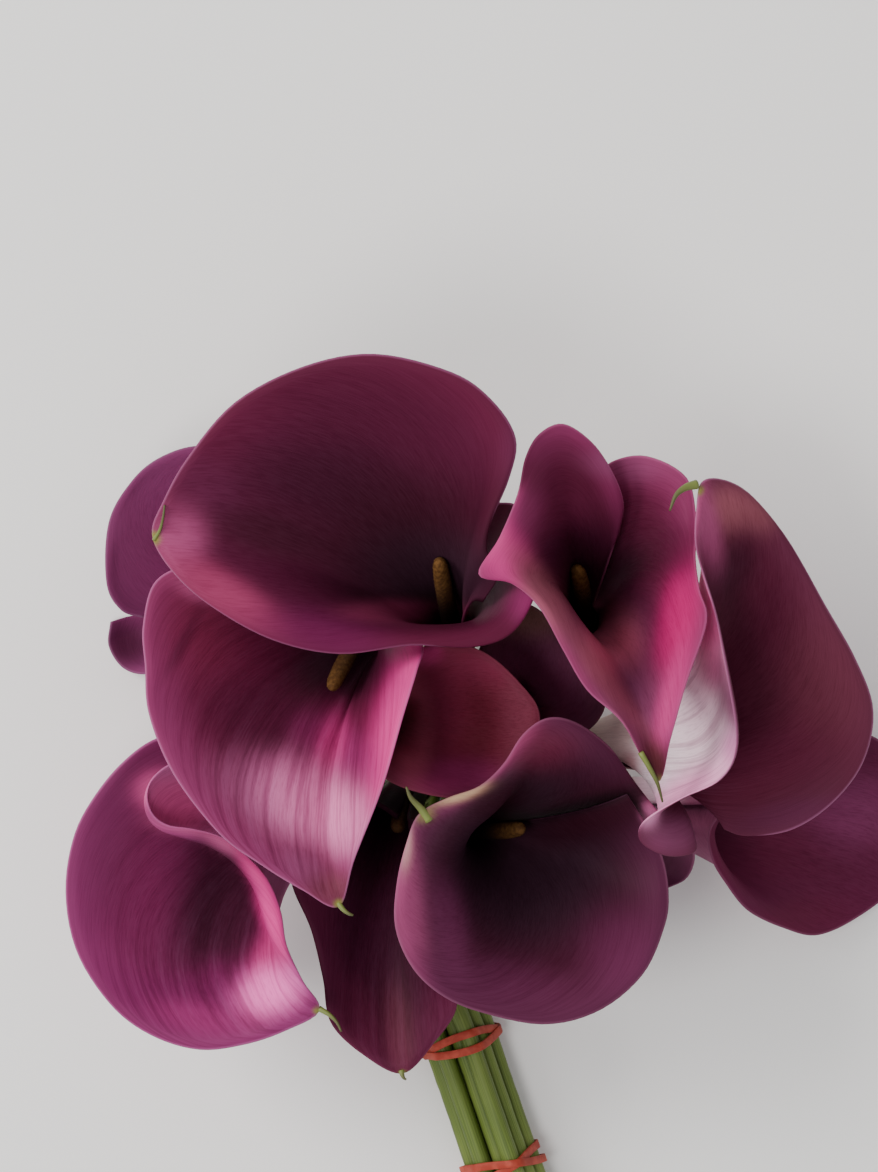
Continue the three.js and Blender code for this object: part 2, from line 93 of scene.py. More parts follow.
# The spathes: their foot, their sheet and the roll of their rim.
BASE_RADIUS = 5.0
BASE_SPREAD = 2.3
FOOT_THICKNESS = 1.0
RIM_THICKNESS = 0.5
RIM_TAPER = 0.55
REACH = 0.5  # how far below the crest the sheet takes its last bend
CLIMB = 0.45  # of the tube's height, where a flower has no climb of its own
SQUARENESS = 0.25  # from 0, opening away from the tube, to 1, opening square to the rim
ROLL_EASE = 8.0
ROLL_LENGTH = 2.0
SHEET_COLUMNS = 150
SHEET_ROWS = 40
ROLL_ROWS = 6
COARSE_COLUMNS = 26
CREASE_WIDTH = 5.0  # columns a sheet's creases are softened over, between foot and rim
SWELL = 0.5  # the height of the soft waves in a sheet
SWELLS = 6
ROUND = 6.283
VEIN_SPACING = 10.0
VEIN_SWEEP = 0.75  # how far the veins turn along the rim towards the apex, under 1
STALK_TINT = "5e7030"  # what each spathe's foot takes over from its stem

# The spadices and the apex threads.
SPADIX_RADIUS = 2.7
SPADIX_RINGS = 110
SPADIX_SIDES = 44
GRAIN_DEPTH = 0.05
GRAIN_PITCH = 4
TAIL_START = 0.75
TAIL_END = 0.25
TAIL_RINGS = 16
TAIL_SIDES = 10

# Each flower. foot is where its spathe starts, and lean the way its tube points. centre and face
# are the middle of its mouth and the way that looks. flare is the rim's angle from the face, climb
# how far the tube holds its lean, and roll how far the rim turns over. tip is its spadix's end,
# route its stem's way down to the bundle, and slot the stem's place in it: pitches and rows.
FLOWERS = {
    "A": {
        "foot": [4, -12, 42], "lean": [-0.1, 0.25, 0.96], "centre": [4, 4],
        "face": [-0.08, 0.02, 1], "flare": 58, "roll": 60, "tip": [0, 7, 76],
        "route": [[5.5, -20, 24], [5, -40, 12], [2, -62, 11.5]], "slot": [0, 2],
    },
    "I": {
        "foot": [35, -9, 40], "lean": [0.1, 0.25, 0.96], "centre": [40, 8],
        "face": [0.05, -0.05, 1], "flare": 55, "squareness": 0, "roll": 50, "tip": [34.3, 4.8, 73],
        "route": [[31, -20, 17], [26.5, -33, 6.5], [15, -58, 3.6]], "slot": [1, 0],
    },
    "C": {
        "foot": [-12, -6, 34], "lean": [-0.45, -0.3, 0.84], "centre": [-22, -22],
        "face": [-0.2, -0.1, 1], "flare": 58, "roll": 55, "tip": [-27, -26, 66],
        "route": [[-2.5, -10, 12], [-1, -26, 5], [-1.5, -48, 3.6]], "slot": [0, 0],
    },
    "D": {
        "foot": [-22, -56, 20], "lean": [-0.8, -0.15, 0.58], "centre": [-58, -80],
        "face": [-0.25, -0.1, 1], "flare": 52, "climb": 0.5, "roll": 60, "tip": [-44, -66, 42],
        "route": [[-12, -64, 9.5]], "slot": [-1.5, 1],
    },
    "F": {
        "foot": [8, -60, 30], "lean": [0.28, -0.08, 0.95], "centre": [22, -68],
        "face": [0.15, -0.05, 1], "flare": 55, "climb": 0.42, "roll": 50, "tip": [21, -60.5, 60],
        "route": [], "slot": [0.5, 3],
    },
    "G": {
        "foot": [-7, -50, 26], "lean": [-0.15, -0.35, 0.92], "centre": [-12, -66],
        "face": [-0.05, -0.25, 1], "flare": 50, "roll": 45, "tip": [-10.5, -61, 47],
        "route": [[-5.5, -60, 12.5]], "slot": [-1, 2],
    },
    "H": {
        "foot": [-16, -32, 26], "lean": [0.25, -0.05, 0.97], "centre": [-9, -34],
        "face": [0.15, -0.1, 1], "flare": 58, "climb": 0.42, "roll": 45, "tip": [-12, -34, 52],
        "route": [[-14.5, -43, 8], [-6, -62, 7]], "slot": [-0.5, 1],
    },
    "J": {
        "foot": [38, -39, 28], "lean": [0.6, 0.14, 0.78], "centre": [84, -20],
        "face": [0.5, -0.05, 1], "flare": 52, "climb": 0.42, "squareness": 0.1, "roll": 55,
        "tip": [62, -22, 66], "route": [[22, -46, 18.5], [12, -63, 16]], "slot": [1, 2],
    },
    "K": {
        "foot": [31, -52, 14], "lean": [0.95, -0.15, 0.27], "centre": [88, -60],
        "face": [0.3, -0.2, 1], "flare": 50, "roll": 45, "tip": [60, -58, 22],
        "route": [[14.5, -62, 7.8]], "slot": [1.5, 1],
    },
    "B": {
        "foot": [-31, -12, 14.5], "lean": [-0.8, 0.4, 0.42], "centre": [-62, 4],
        "face": [-0.2, -0.05, 1], "flare": 52, "roll": 50, "tip": [-45.5, -5, 21.5],
        "route": [[-15, -19, 7.5], [-16, -36, 3.8], [-16, -58, 3.6]], "slot": [-1, 0],
    },
    "L": {
        "foot": [17, -31, 22], "lean": [0.08, 0.06, 1], "centre": [21, -28], "face": [0, 0, 1],
        "flare": 45, "climb": 0.4, "roll": 30, "tip": [19, -29, 42],
        "route": [[12.5, -44, 8], [7, -62, 8]], "slot": [0.5, 1],
    },
}
# The points of each rim: plan x, plan y and height, then flare and reach where the flower's own or
# REACH don't hold.
RIMS = {
    "A": [
        [11, -4, 82], [15, 3, 92], [12, 9, 99], [13, 16, 104], [17.5, 27, 109], [19, 37, 112],
        [13, 46.5, 114], [3, 53.5, 115], [-16, 58, 114], [-34, 55, 112], [-51, 46, 109],
        [-63, 32, 105], [-69, 21, 101], [-71.5, 13, 98, 75], [-67, 4.5, 98, 70], [-58, -4, 99, 75],
        [-42, -13, 98, 75], [-25, -17, 97, 75], [-7, -15, 95, 75], [8, -15.5, 92, 75],
        [17.5, -12.5, 91, 65], [23, -5, 90, 50], [25, 4, 87], [24, 13, 82], [20, 20, 76],
        [13, 21, 71],
    ],
    "I": [
        [45, 13, 80], [46, 21, 88], [43, 29, 95], [38, 36, 99], [31, 40.5, 101], [25, 38, 102],
        [21.5, 32, 103, 70, 0.4], [19.5, 23, 107, 85, 0.35], [15, 12, 113, 90, 0.4],
        [10, 3, 116, 90, 0.4], [18, 1, 115, 90, 0.3], [25, -5, 113, 90, 0.28],
        [31, -16, 110, 85, 0.35], [37, -26, 107, 70], [46, -34.5, 103], [54.5, -49, 98, 75],
        [58, -38, 100, 50], [62, -24, 104, 45], [67, -9, 106, 40], [65.2, -1, 105, 35],
        [64.2, 7, 101, 35], [64.4, 16, 96, 45], [62, 27, 94], [52, 32.5, 90], [43, 31, 85],
        [39, 26, 78],
    ],
    "C": [
        [-27, -8, 70], [-36, -2, 74], [-50, 2, 76], [-62, 5, 75], [-71, 1, 75], [-74, -10, 76],
        [-73.5, -20, 78], [-72.5, -32, 84], [-66, -47.5, 90], [-55, -62, 94], [-44, -70, 95],
        [-34, -76, 94], [-25, -80, 92, 70], [-21, -68, 95, 35], [-14, -50, 98, 30],
        [-9, -33, 98, 30], [-5.5, -21.5, 95], [-4, -15, 84], [-8, -11, 72], [-14, -9, 62],
    ],
    "D": [
        [-50, -46, 52, 30, 0.3], [-58, -43, 60, 30, 0.3], [-65, -43.5, 66, 35, 0.3],
        [-70.5, -47, 69, 40, 0.3], [-72.8, -52, 70, 50, 0.3], [-71.5, -57, 70.5, 60, 0.3],
        [-67.5, -60, 71, 70, 0.3], [-61, -61, 72, 75, 0.3], [-54, -63, 73, 80, 0.3],
        [-47.5, -68, 74, 85, 0.3], [-42.5, -74, 75, 90, 0.3], [-39.5, -81.5, 75, 90, 0.3],
        [-38, -90, 75, 85, 0.35], [-34, -99, 74, 80, 0.4], [-30, -106, 72, 80], [-38, -111, 66],
        [-48, -114.5, 62], [-60, -116, 58], [-72, -112.5, 54], [-82, -105, 50], [-90, -92, 46],
        [-93, -76, 44], [-91, -62, 44], [-85, -51, 45], [-78, -43, 46], [-70, -38, 44],
        [-60, -37, 41],
    ],
    "F": [
        [47, -52, 77], [52, -60, 70], [56, -68, 65], [57.5, -77, 65], [56.5, -85, 68],
        [51, -97, 74], [40, -106, 78], [26, -109.5, 82], [10, -106.5, 88], [0, -102, 92],
        [-7, -95, 95], [-11, -85, 97], [-10.5, -74, 99], [-8, -64, 101, 70], [-5, -57, 102, 90],
        [2, -53, 101, 95, 0.4], [10, -50, 100, 90, 0.4], [16, -44.5, 99, 70], [21, -37, 97],
        [27, -33, 96], [34, -34, 93], [42.5, -40, 86], [49, -49, 77], [55, -56.5, 67],
        [61, -62, 59], [64, -67, 52], [62, -73, 46], [56, -76, 43],
    ],
    "G": [
        [-6, -58, 56], [-4, -68, 62], [-3, -82, 66], [2, -95, 67], [4.5, -105, 66], [-1, -114, 62],
        [-9, -122, 59, 70], [-19, -117, 59], [-27, -109, 60], [-29, -98, 61], [-32, -86, 62],
        [-37, -74, 62], [-36, -63, 61], [-28, -55, 58], [-18, -53, 54], [-10, -57, 50],
    ],
    "H": [
        [-16, -38, 54], [-19, -33, 60], [-16, -26, 66], [-6, -16, 73], [4, -14.5, 76],
        [12, -17, 78], [20, -24, 78], [25, -32, 77, 70], [23, -43, 75], [14, -50.5, 73],
        [4, -53, 71], [-7, -51, 68], [-15, -47, 62], [-20, -40, 56], [-19, -34, 52],
    ],
    "J": [
        [64, -62, 66], [64, -66.5, 71, 60], [57, -67.5, 75, 90, 0.4], [50.5, -64, 79, 100, 0.35],
        [51, -59, 84, 95, 0.35], [60, -53.5, 91, 60, 0.35], [70, -48.5, 97, 35, 0.4],
        [74, -40, 101, 25], [72.5, -25, 103, 25], [69.5, -9, 104, 25], [65.8, 3, 105, 30, 0.35],
        [64, 11, 107, 50, 0.25], [64.2, 19, 107, 80, 0.35], [65.6, 26, 106, 85],
        [71, 26.5, 103, 80], [78, 22.5, 99, 70], [87, 12, 93], [96, -4, 86], [104, -18, 78],
        [108.5, -31, 71], [106, -44, 65], [98, -54.5, 61], [88, -61, 59], [77, -62.5, 56],
        [71.5, -61, 53],
    ],
    "K": [
        [77, -53, 29, 35], [70, -57, 33, 35], [67, -62, 36.5, 40], [68, -68, 36], [71, -73.5, 34.5],
        [77, -81, 30], [86, -85.5, 22], [95, -87.5, 15, 70], [105, -82.5, 8], [114, -75, 3],
        [118, -64, 1], [117, -50, 4], [112, -40, 10], [103, -36, 17], [92, -37, 22], [82, -42, 27],
        [73, -47, 31], [66, -53, 35],
    ],
    "B": [
        [-74, -8, 25, 50], [-79.5, -6, 28, 50], [-83.2, 1, 31], [-82.5, 16, 33], [-77, 26, 36],
        [-70, 32, 37], [-60, 35, 37, 70], [-50, 32, 36], [-43, 22, 35], [-44, 10, 33],
        [-49, -2, 29, 40], [-57, -12, 22, 40], [-66, -18.5, 14], [-73, -22, 8], [-79, -20.5, 4],
        [-82.6, -15, 2.8, 50], [-82.2, -9, 4, 50],
    ],
    "L": [
        [19, -33, 38, 20], [26, -37, 46, 30], [33, -38, 50], [38.5, -35, 52], [41.5, -30, 53],
        [40.5, -25, 54], [35.5, -18, 57], [29, -9.5, 59, 40], [22, -4.5, 60, 40],
        [14.5, -8, 59, 40], [10, -16, 56], [7.5, -27, 51], [9, -37, 48], [15, -43.5, 47],
        [22, -46, 46], [29, -45, 46],
    ],
}

# The tones that the patches below draw on.
TONES = {
    "ink": "1a0d14", "sloe": "2a0c1b", "shade": "37202d", "bramble": "35121f", "damson": "3a1126",
    "claret": "48122a", "bark": "48201e", "wine": "5c1c36", "murrey": "64284a", "beet": "641846",
    "russet": "6a3040", "maroon": "7c2a46", "plum": "78345a", "berry": "8c2c62", "mauve": "8a466a",
    "brick": "8a4c56", "clay": "9c5662", "rose": "a23e64", "heather": "ac4e7a", "cerise": "b81a66",
    "fuchsia": "c83c80", "candy": "dc3c8c", "thistle": "b8689a", "pink": "d85c96",
    "coral": "e0708e", "blush": "e680b4", "powder": "f098c6", "vivid": "f872c0", "shell": "ffdcea",
    "bone": "dcc0bc", "fawn": "bc8c88", "straw": "b89c74", "olive": "74683f", "umber": "5c4434",
}
# Soft patches laid over a sheet's inside, in turn: plan x, plan y, half length, half width, the
# length's turn from +X in degrees, strength and tone. Besides the flowers' own tone changes they
# hold painted shade, such as the dark throats and shaded walls, and painted highlights, such as
# the lit lower walls, lips and rim bands.
TINTS_AND_PAINTED_LIGHT = {
    "A": [
        (-20, 46, 26, 12, -10, 0.7, "claret"), (-27, 26, 22, 12, 0, 0.6, "sloe"),
        (14, 20, 8, 14, 0, 0.5, "claret"), (20, 34, 5, 12, 0, 0.35, "murrey"),
        (-60, 25, 8, 10, 60, 0.3, "murrey"), (-7, 12, 28, 17, 10, 0.8, "bramble"),
        (-42, 13, 15, 6, -15, 0.6, "bramble"), (-65, 12, 7, 8, 0, 0.7, "heather"),
        (0, 3, 19, 11, -8, 0.9, "shade"), (-53, -2, 16, 5, -32, 0.75, "rose"),
        (-28, -12, 18, 6, -12, 0.6, "beet"), (2, -14, 16, 4, 0, 0.5, "wine"),
        (25, -5, 7, 6, 0, 0.75, "berry"), (-9, -6.5, 14, 3, 0, 0.9, "rose"),
    ],
    "I": [
        (20, 28, 5, 12, 80, 0.5, "wine"), (30, 30, 7, 12, 90, 0.5, "wine"),
        (46, 30, 10, 4, -10, 0.7, "mauve"), (52, 14, 12, 12, 0, 0.5, "claret"),
        (34, 8, 14, 8, 10, 0.9, "damson"), (44, 4, 10, 5, 20, 0.7, "sloe"),
        (16, 8, 6, 9, 30, 0.9, "fuchsia"), (26, -2, 4, 14, 35, 0.7, "clay"),
        (46, -14, 12, 12, 0, 0.6, "plum"), (60, -8, 5, 16, -12, 0.9, "cerise"),
        (59, 9, 7, 7, 0, 0.7, "claret"), (43, -14, 7, 9, 0, 0.9, "coral"),
        (50, -30, 10, 10, 0, 0.7, "mauve"), (42, -24, 3, 18, 35, 0.6, "clay"),
        (58, -28, 3, 14, -15, 0.7, "fuchsia"), (54, -44, 4, 7, 20, 0.9, "bark"),
    ],
    "C": [
        (-60, -8, 12, 16, 0, 0.5, "maroon"), (-60, -1, 6, 3, -20, 0.7, "heather"),
        (-64, -14, 1.6, 10, -28, 0.6, "claret"), (-38, -10, 20, 12, -15, 0.6, "claret"),
        (-23, -19, 17, 9, 15, 0.95, "sloe"), (-45, -34, 16, 12, -20, 0.6, "damson"),
        (-11, -38, 6, 22, -12, 0.9, "candy"), (-5, -19, 6, 6, 0, 0.85, "candy"),
        (-26, -41, 12, 7, -35, 0.75, "berry"), (-27, -40, 4, 9, -15, 0.6, "fuchsia"),
        (-42, -52, 16, 8, -25, 0.7, "mauve"), (-33, -54, 14, 10, -30, 0.8, "blush"),
        (-23, -59, 6, 9, 0, 0.7, "blush"), (-34, -71, 7, 4, -30, 0.6, "mauve"),
        (-26, -76, 8, 5, 0, 0.9, "russet"),
    ],
    "D": [
        (-84, -62, 8, 22, -10, 0.4, "murrey"), (-74, -46, 12, 8, 0, 0.4, "plum"),
        (-55, -78, 11, 22, -20, 0.95, "sloe"), (-52, -66, 10, 6, -20, 0.8, "damson"),
        (-68, -104, 18, 7, -15, 0.7, "beet"), (-41, -92, 5, 14, -20, 0.7, "fuchsia"),
        (-50, -82, 7, 13, -20, 0.8, "damson"), (-55, -101, 9, 7, 0, 0.85, "beet"),
        (-42, -101, 9, 6, 20, 0.9, "vivid"), (-60, -108, 12, 4, -10, 0.6, "berry"),
        (-70, -51, 6, 5, 0, 0.85, "pink"), (-62, -59, 10, 3, -3, 0.9, "heather"),
        (-52, -63.5, 8, 3, -25, 0.9, "heather"), (-45, -71, 8, 3, -55, 0.9, "fuchsia"),
        (-41, -82, 9, 3.5, -68, 0.9, "candy"),
    ],
    "F": [
        (-8, -78, 5, 20, 8, 0.8, "heather"), (24, -66, 24, 22, 0, 0.95, "shade"),
        (24, -70, 18, 18, 0, 0.8, "shade"), (44, -50, 10, 12, 35, 0.6, "damson"),
        (38, -57, 18, 7, 18, 0.95, "bramble"), (14, -53, 9, 5, 15, 0.85, "bramble"),
        (35, -55, 17, 2, 15, 0.8, "ink"), (22, -40, 12, 6, 0, 0.6, "maroon"),
        (12, -98, 22, 6, -10, 0.5, "murrey"), (46, -92, 10, 12, 30, 0.6, "murrey"),
        (-3.5, -57, 2.5, 2, 30, 0.9, "olive"), (12, -45, 14, 3.5, 42, 0.7, "heather"),
        (2, -84, 5, 12, 10, 0.8, "plum"), (53, -56.5, 2.5, 3, 0, 0.9, "blush"),
        (-8.5, -64, 1.8, 7, 0, 0.8, "fawn"), (5, -52, 7, 1.8, 18, 0.85, "straw"),
    ],
    "G": [
        (-8, -62, 22, 18, 0, 1.0, "sloe"), (-14, -84, 14, 14, 0, 0.8, "damson"),
        (-10, -112, 4, 12, 5, 0.5, "russet"), (-20, -108, 6, 10, 20, 0.4, "wine"),
    ],
    "H": [
        (-3, -17, 4, 3, 0, 0.85, "fuchsia"), (-2, -31, 9, 14, 0, 0.7, "maroon"),
        (4, -48, 14, 5, 0, 0.6, "berry"), (20, -32, 5, 14, 0, 0.55, "russet"),
        (-7, -36, 5, 12, 0, 0.9, "coral"), (8, -20, 12, 5, 0, 0.5, "maroon"),
    ],
    "J": [
        (58, -62, 7, 5, 0, 0.8, "mauve"), (52, -56, 3, 4, 0, 0.9, "powder"),
        (72, 19, 6, 6, -20, 0.85, "clay"), (79, 18, 6, 5, -30, 0.8, "brick"),
        (74, 5, 5, 8, -30, 0.8, "sloe"), (67, 14, 3.5, 12, 12, 0.9, "heather"),
        (80, 0, 12, 20, 20, 0.55, "claret"), (98, -26, 10, 20, 10, 0.6, "russet"),
        (84, -44, 22, 10, 5, 0.5, "wine"), (90, -57, 14, 4, 10, 0.5, "murrey"),
    ],
    "K": [
        (80, -66, 16, 10, 0, 0.6, "wine"), (104, -56, 12, 10, 0, 0.7, "plum"),
        (90, -84, 14, 6, 10, 0.7, "wine"),
    ],
    "B": [(-78, 8, 8, 14, 0, 0.5, "murrey"), (-78, -15, 7, 6, 0, 0.85, "damson")],
    "L": [(22, -8, 9, 6, 0, 0.6, "umber"), (24, -28, 14, 14, 0, 0.9, "mauve")],
}
# The same for a sheet's outside: its own tone changes, painted shade, such as on the rims of F and
# G, and painted highlights, such as on J's lit pale flank.
OUTER_TINTS_AND_PAINTED_LIGHT = {
    "C": [(-12, -38, 8, 26, -12, 0.9, "fuchsia")],
    "D": [(-66, -54, 12, 8, 0, 0.8, "pink"), (-56, -51, 5, 4, 0, 0.8, "murrey")],
    "F": [(34, -53, 20, 6, 14, 0.95, "bramble")],
    "G": [(-10, -54, 16, 8, 0, 1.0, "ink")],
    "I": [(46, -30, 30, 30, 0, 0.5, "heather")],
    "J": [
        (67, -30, 9, 20, 5, 0.9, "shell"), (74, -28, 4.5, 12, 5, 0.95, "murrey"),
        (69, -21, 3.5, 6, 0, 0.8, "mauve"), (69, -10, 5, 6, 0, 0.9, "blush"),
        (52, -56, 3, 4, 0, 0.9, "powder"), (68, -4, 6, 18, 0, 0.9, "pink"),
        (74, -41, 4, 5, 0, 0.8, "thistle"), (62, -53, 18, 6, 30, 0.85, "powder"),
        (44, -35, 9, 11, 0, 0.8, "bone"), (47.5, -45, 3.5, 4, 0, 0.8, "brick"),
    ],
    "K": [(54, -51, 6, 6, 0, 0.9, "shell")],
}
# Where the streaks between the veins show strongly, with a painted satin highlight on their pale
# side: the same five sizes and the strength.
STREAKED = {
    "C": [(-34, -54, 26, 22, -20, 0.6), (-10, -40, 8, 22, -12, 0.3)],
    "D": [(-52, -100, 26, 16, 0, 0.48)],
    "F": [(16, -100, 26, 8, 0, 0.25)],
    "G": [(-12, -108, 12, 14, 0, 0.35)],
    "J": [(64, -38, 10, 22, 5, 0.5)],
}

# Where a rim has no pale line: the same five sizes, and a distance that puts the line out.
PLAIN_RIM = {
    "A": [(12, -2, 12, 14, 0, 4.0)],
    "I": [(38, 4, 5, 12, -20, 4.0)],
    "F": [(34, -56, 24, 8, 18, 4.0)],
    "J": [(60, -60, 16, 9, 0, 4.0)],
    "G": [(-14, -72, 24, 26, 0, 4.0)],
}

# The apex of each flower that shows its own: place, height and how far the green spreads.
APEX = {
    "A": [(-71, 12, 98, 2)],
    "I": [(55, -50, 98, 2.5)],
    "C": [(-25, -79.5, 92, 1.5)],
    "D": [(-30, -106, 72, 1.5)],
    "F": [(-6, -54, 102, 1.8)],
    "G": [(-9, -122, 59, 1.2)],
    "J": [(65, 24, 107, 1.5)],
}
# The thread each apex ends in.
TAILS = {
    "A": [(-71.3, 11.5, 98.6), (-69.8, 14, 100), (-69, 17, 101.4), (-68.6, 20.2, 102.2)],
    "I": [
        (50.4, -41.6, 101), (52.5, -45.2, 100), (54.4, -48.8, 98.6), (55.2, -51.2, 97.8),
        (55.9, -54, 96.8),
    ],
    "C": [(-25.2, -79.3, 92), (-23.8, -81, 92.6), (-22.4, -82, 93), (-21.4, -82.3, 93)],
    "D": [(-30, -105.6, 72), (-27.4, -107.2, 72.6), (-25.6, -109, 73), (-24.4, -111.4, 73.4)],
    "F": [(-2.6, -58.6, 101.4), (-4.4, -55.8, 102.4), (-7, -53, 103.4), (-8.2, -50.2, 104)],
    "G": [(-9.4, -121.2, 59), (-9.2, -122.2, 59.4), (-8.8, -123, 59.8), (-8.2, -123.4, 60)],
    "J": [(64.4, 25.4, 106.6), (61.6, 24.6, 108), (59.2, 22.6, 108.8), (57.7, 18.8, 109)],
}
# How thick each thread starts, where that isn't TAIL_START.
TAIL_RADIUS = {"A": 0.45, "F": 1.3, "J": 1.2}
# How dim each spadix is, for the shade it stands in.
DIMMED = {"G": 0.75, "A": 0.3, "C": 0.35, "F": 0.4, "I": 0.15}

# How each flower is coloured, as seen in even light, apart from the throat tone, which is painted
# shade (for H, painted lighter to soften its throat's shadow). The sheet goes from the throat by
# the blade to the lip on its inside, and from the foot by the flank to the back of the lip on its
# outside. edge is the thin rim line. dark is how far up the throat's painted shade reaches. streak
# is how strong the streaks show away from the places above.
LOOK_NAMES = ("throat", "blade", "lip", "foot", "flank", "back", "edge", "dark", "streak")
LOOK_ROWS = {
    "A": ("2e1622", "511732", "5c1a36", "6a7a3a", "7a2c52", "7c3458", "a8648c", 0.45, 0.1),
    "I": ("2c101c", "64223e", "84305a", "8c9468", "a85c80", "b0608a", "b8608c", 0.4, 0.14),
    "C": ("2a121a", "601a38", "80305a", "6a7a3a", "962e66", "ac3a7c", "c070a0", 0.35, 0.18),
    "D": ("3c1028", "641e44", "7c2c5c", "6a7a3a", "a85888", "b86c9c", "c46ea4", 0.4, 0.18),
    "F": ("341c28", "46182c", "5c2844", "6a7a3a", "8a5074", "946082", "8c5470", 0.55, 0.1),
    "G": ("22101a", "3a1024", "521a34", "6a7a3a", "6a2848", "7c3a58", "743450", 0.55, 0.16),
    "H": ("6c2236", "62202f", "6a2638", "6a7a3a", "803450", "8c405c", "944c5e", 0.4, 0.1),
    "J": ("340f1e", "5a1e34", "602a40", "c8c0b0", "f4e0e8", "e49cc8", "b06c94", 0.35, 0.1),
    "K": ("2c0e1c", "5a1e3a", "5c1e3c", "98987c", "8c4c6a", "8c4c6a", "8c5470", 0.4, 0.12),
    "B": ("280c1c", "6a2850", "78345e", "6a7a3a", "5a2040", "74345c", "8c5c7c", 0.35, 0.1),
    # L sits deep in the bunch, and its tones are dark all over with painted shade.
    "L": ("402030", "38202c", "40242f", "4a4a2a", "44242f", "44242f", "5c3440", 0.5, 0.1),
}
LOOKS = {letter: dict(zip(LOOK_NAMES, row)) for letter, row in LOOK_ROWS.items()}


def unit(v):
    """A vector, or the rows of an array of vectors, at length one."""
    v = np.asarray(v, float)
    length = np.linalg.norm(v, axis=-1, keepdims=True)
    return v / np.maximum(length, 1e-9)


def seen(place):
    """A plan place and a height, moved along the line of sight to that height."""
    x, y, z = place[:3]
    nearness = (EYE_HEIGHT + EYE_LEVEL - z) / EYE_HEIGHT
    return np.array([x * nearness, y * nearness, z], float)


def colour(word):
    """A hex colour as linear light."""
    parts = [int(word[i:i + 2], 16) / 255 for i in (0, 2, 4)]
    light = [p / 12.92 if p <= 0.04045 else ((p + 0.055) / 1.055) ** 2.4 for p in parts]
    return light + [1.0]


def tone(word):
    """A hex colour as linear light, without its alpha."""
    return np.array(colour(word)[:3])


def smooth(values, low, high):
    """From 0 at low to 1 at high, with a soft start and end."""
    t = np.clip((values - low) / (high - low), 0, 1)
    return t * t * (3 - 2 * t)


def run_of(points):
    """How far along its path each point lies."""
    return np.concatenate([[0], np.cumsum(np.linalg.norm(np.diff(points, axis=0), axis=1))])


def spline(points, places):
    """A smooth curve through points at places from 0 to 1, the same for every dimension."""
    points = np.asarray(points, float)
    last = len(points) - 1
    padded = np.vstack([2 * points[0] - points[1], points, 2 * points[-1] - points[-2]])
    where = np.clip(places, 0, 1) * last
    low = np.minimum(where.astype(int), last - 1)
    t = (where - low)[:, None]
    p0, p1, p2, p3 = (padded[low + k] for k in range(4))
    m1 = (p2 - p0) / 2
    m2 = (p3 - p1) / 2
    bend = (3 * (p2 - p1) - 2 * m1 - m2) * t ** 2
    return p1 + m1 * t + bend + (2 * (p1 - p2) + m1 + m2) * t ** 3


def soften(values, width):
    """Values along the rim, averaged over their neighbours with a bell-shaped weight."""
    reach = int(3 * width)
    bell = np.exp(-0.5 * (np.arange(-reach, reach + 1) / width) ** 2)
    bell /= bell.sum()
    flat = values.reshape(len(values), -1)
    wide = np.vstack([flat[:1].repeat(reach, 0), flat, flat[-1:].repeat(reach, 0)])
    out = np.stack([np.convolve(wide[:, k], bell, "valid") for k in range(flat.shape[1])], 1)
    return out.reshape(values.shape)


def tilted(spoke, face, lean):
    """Spokes across the face, turned to lie across the lean."""
    axis = np.cross(face, lean)
    sine = np.linalg.norm(axis)
    cosine = face @ lean
    axis = axis / max(sine, 1e-9)
    along = axis * (spoke @ axis)[:, None] * (1 - cosine)
    return spoke * cosine + np.cross(axis, spoke) * sine + along


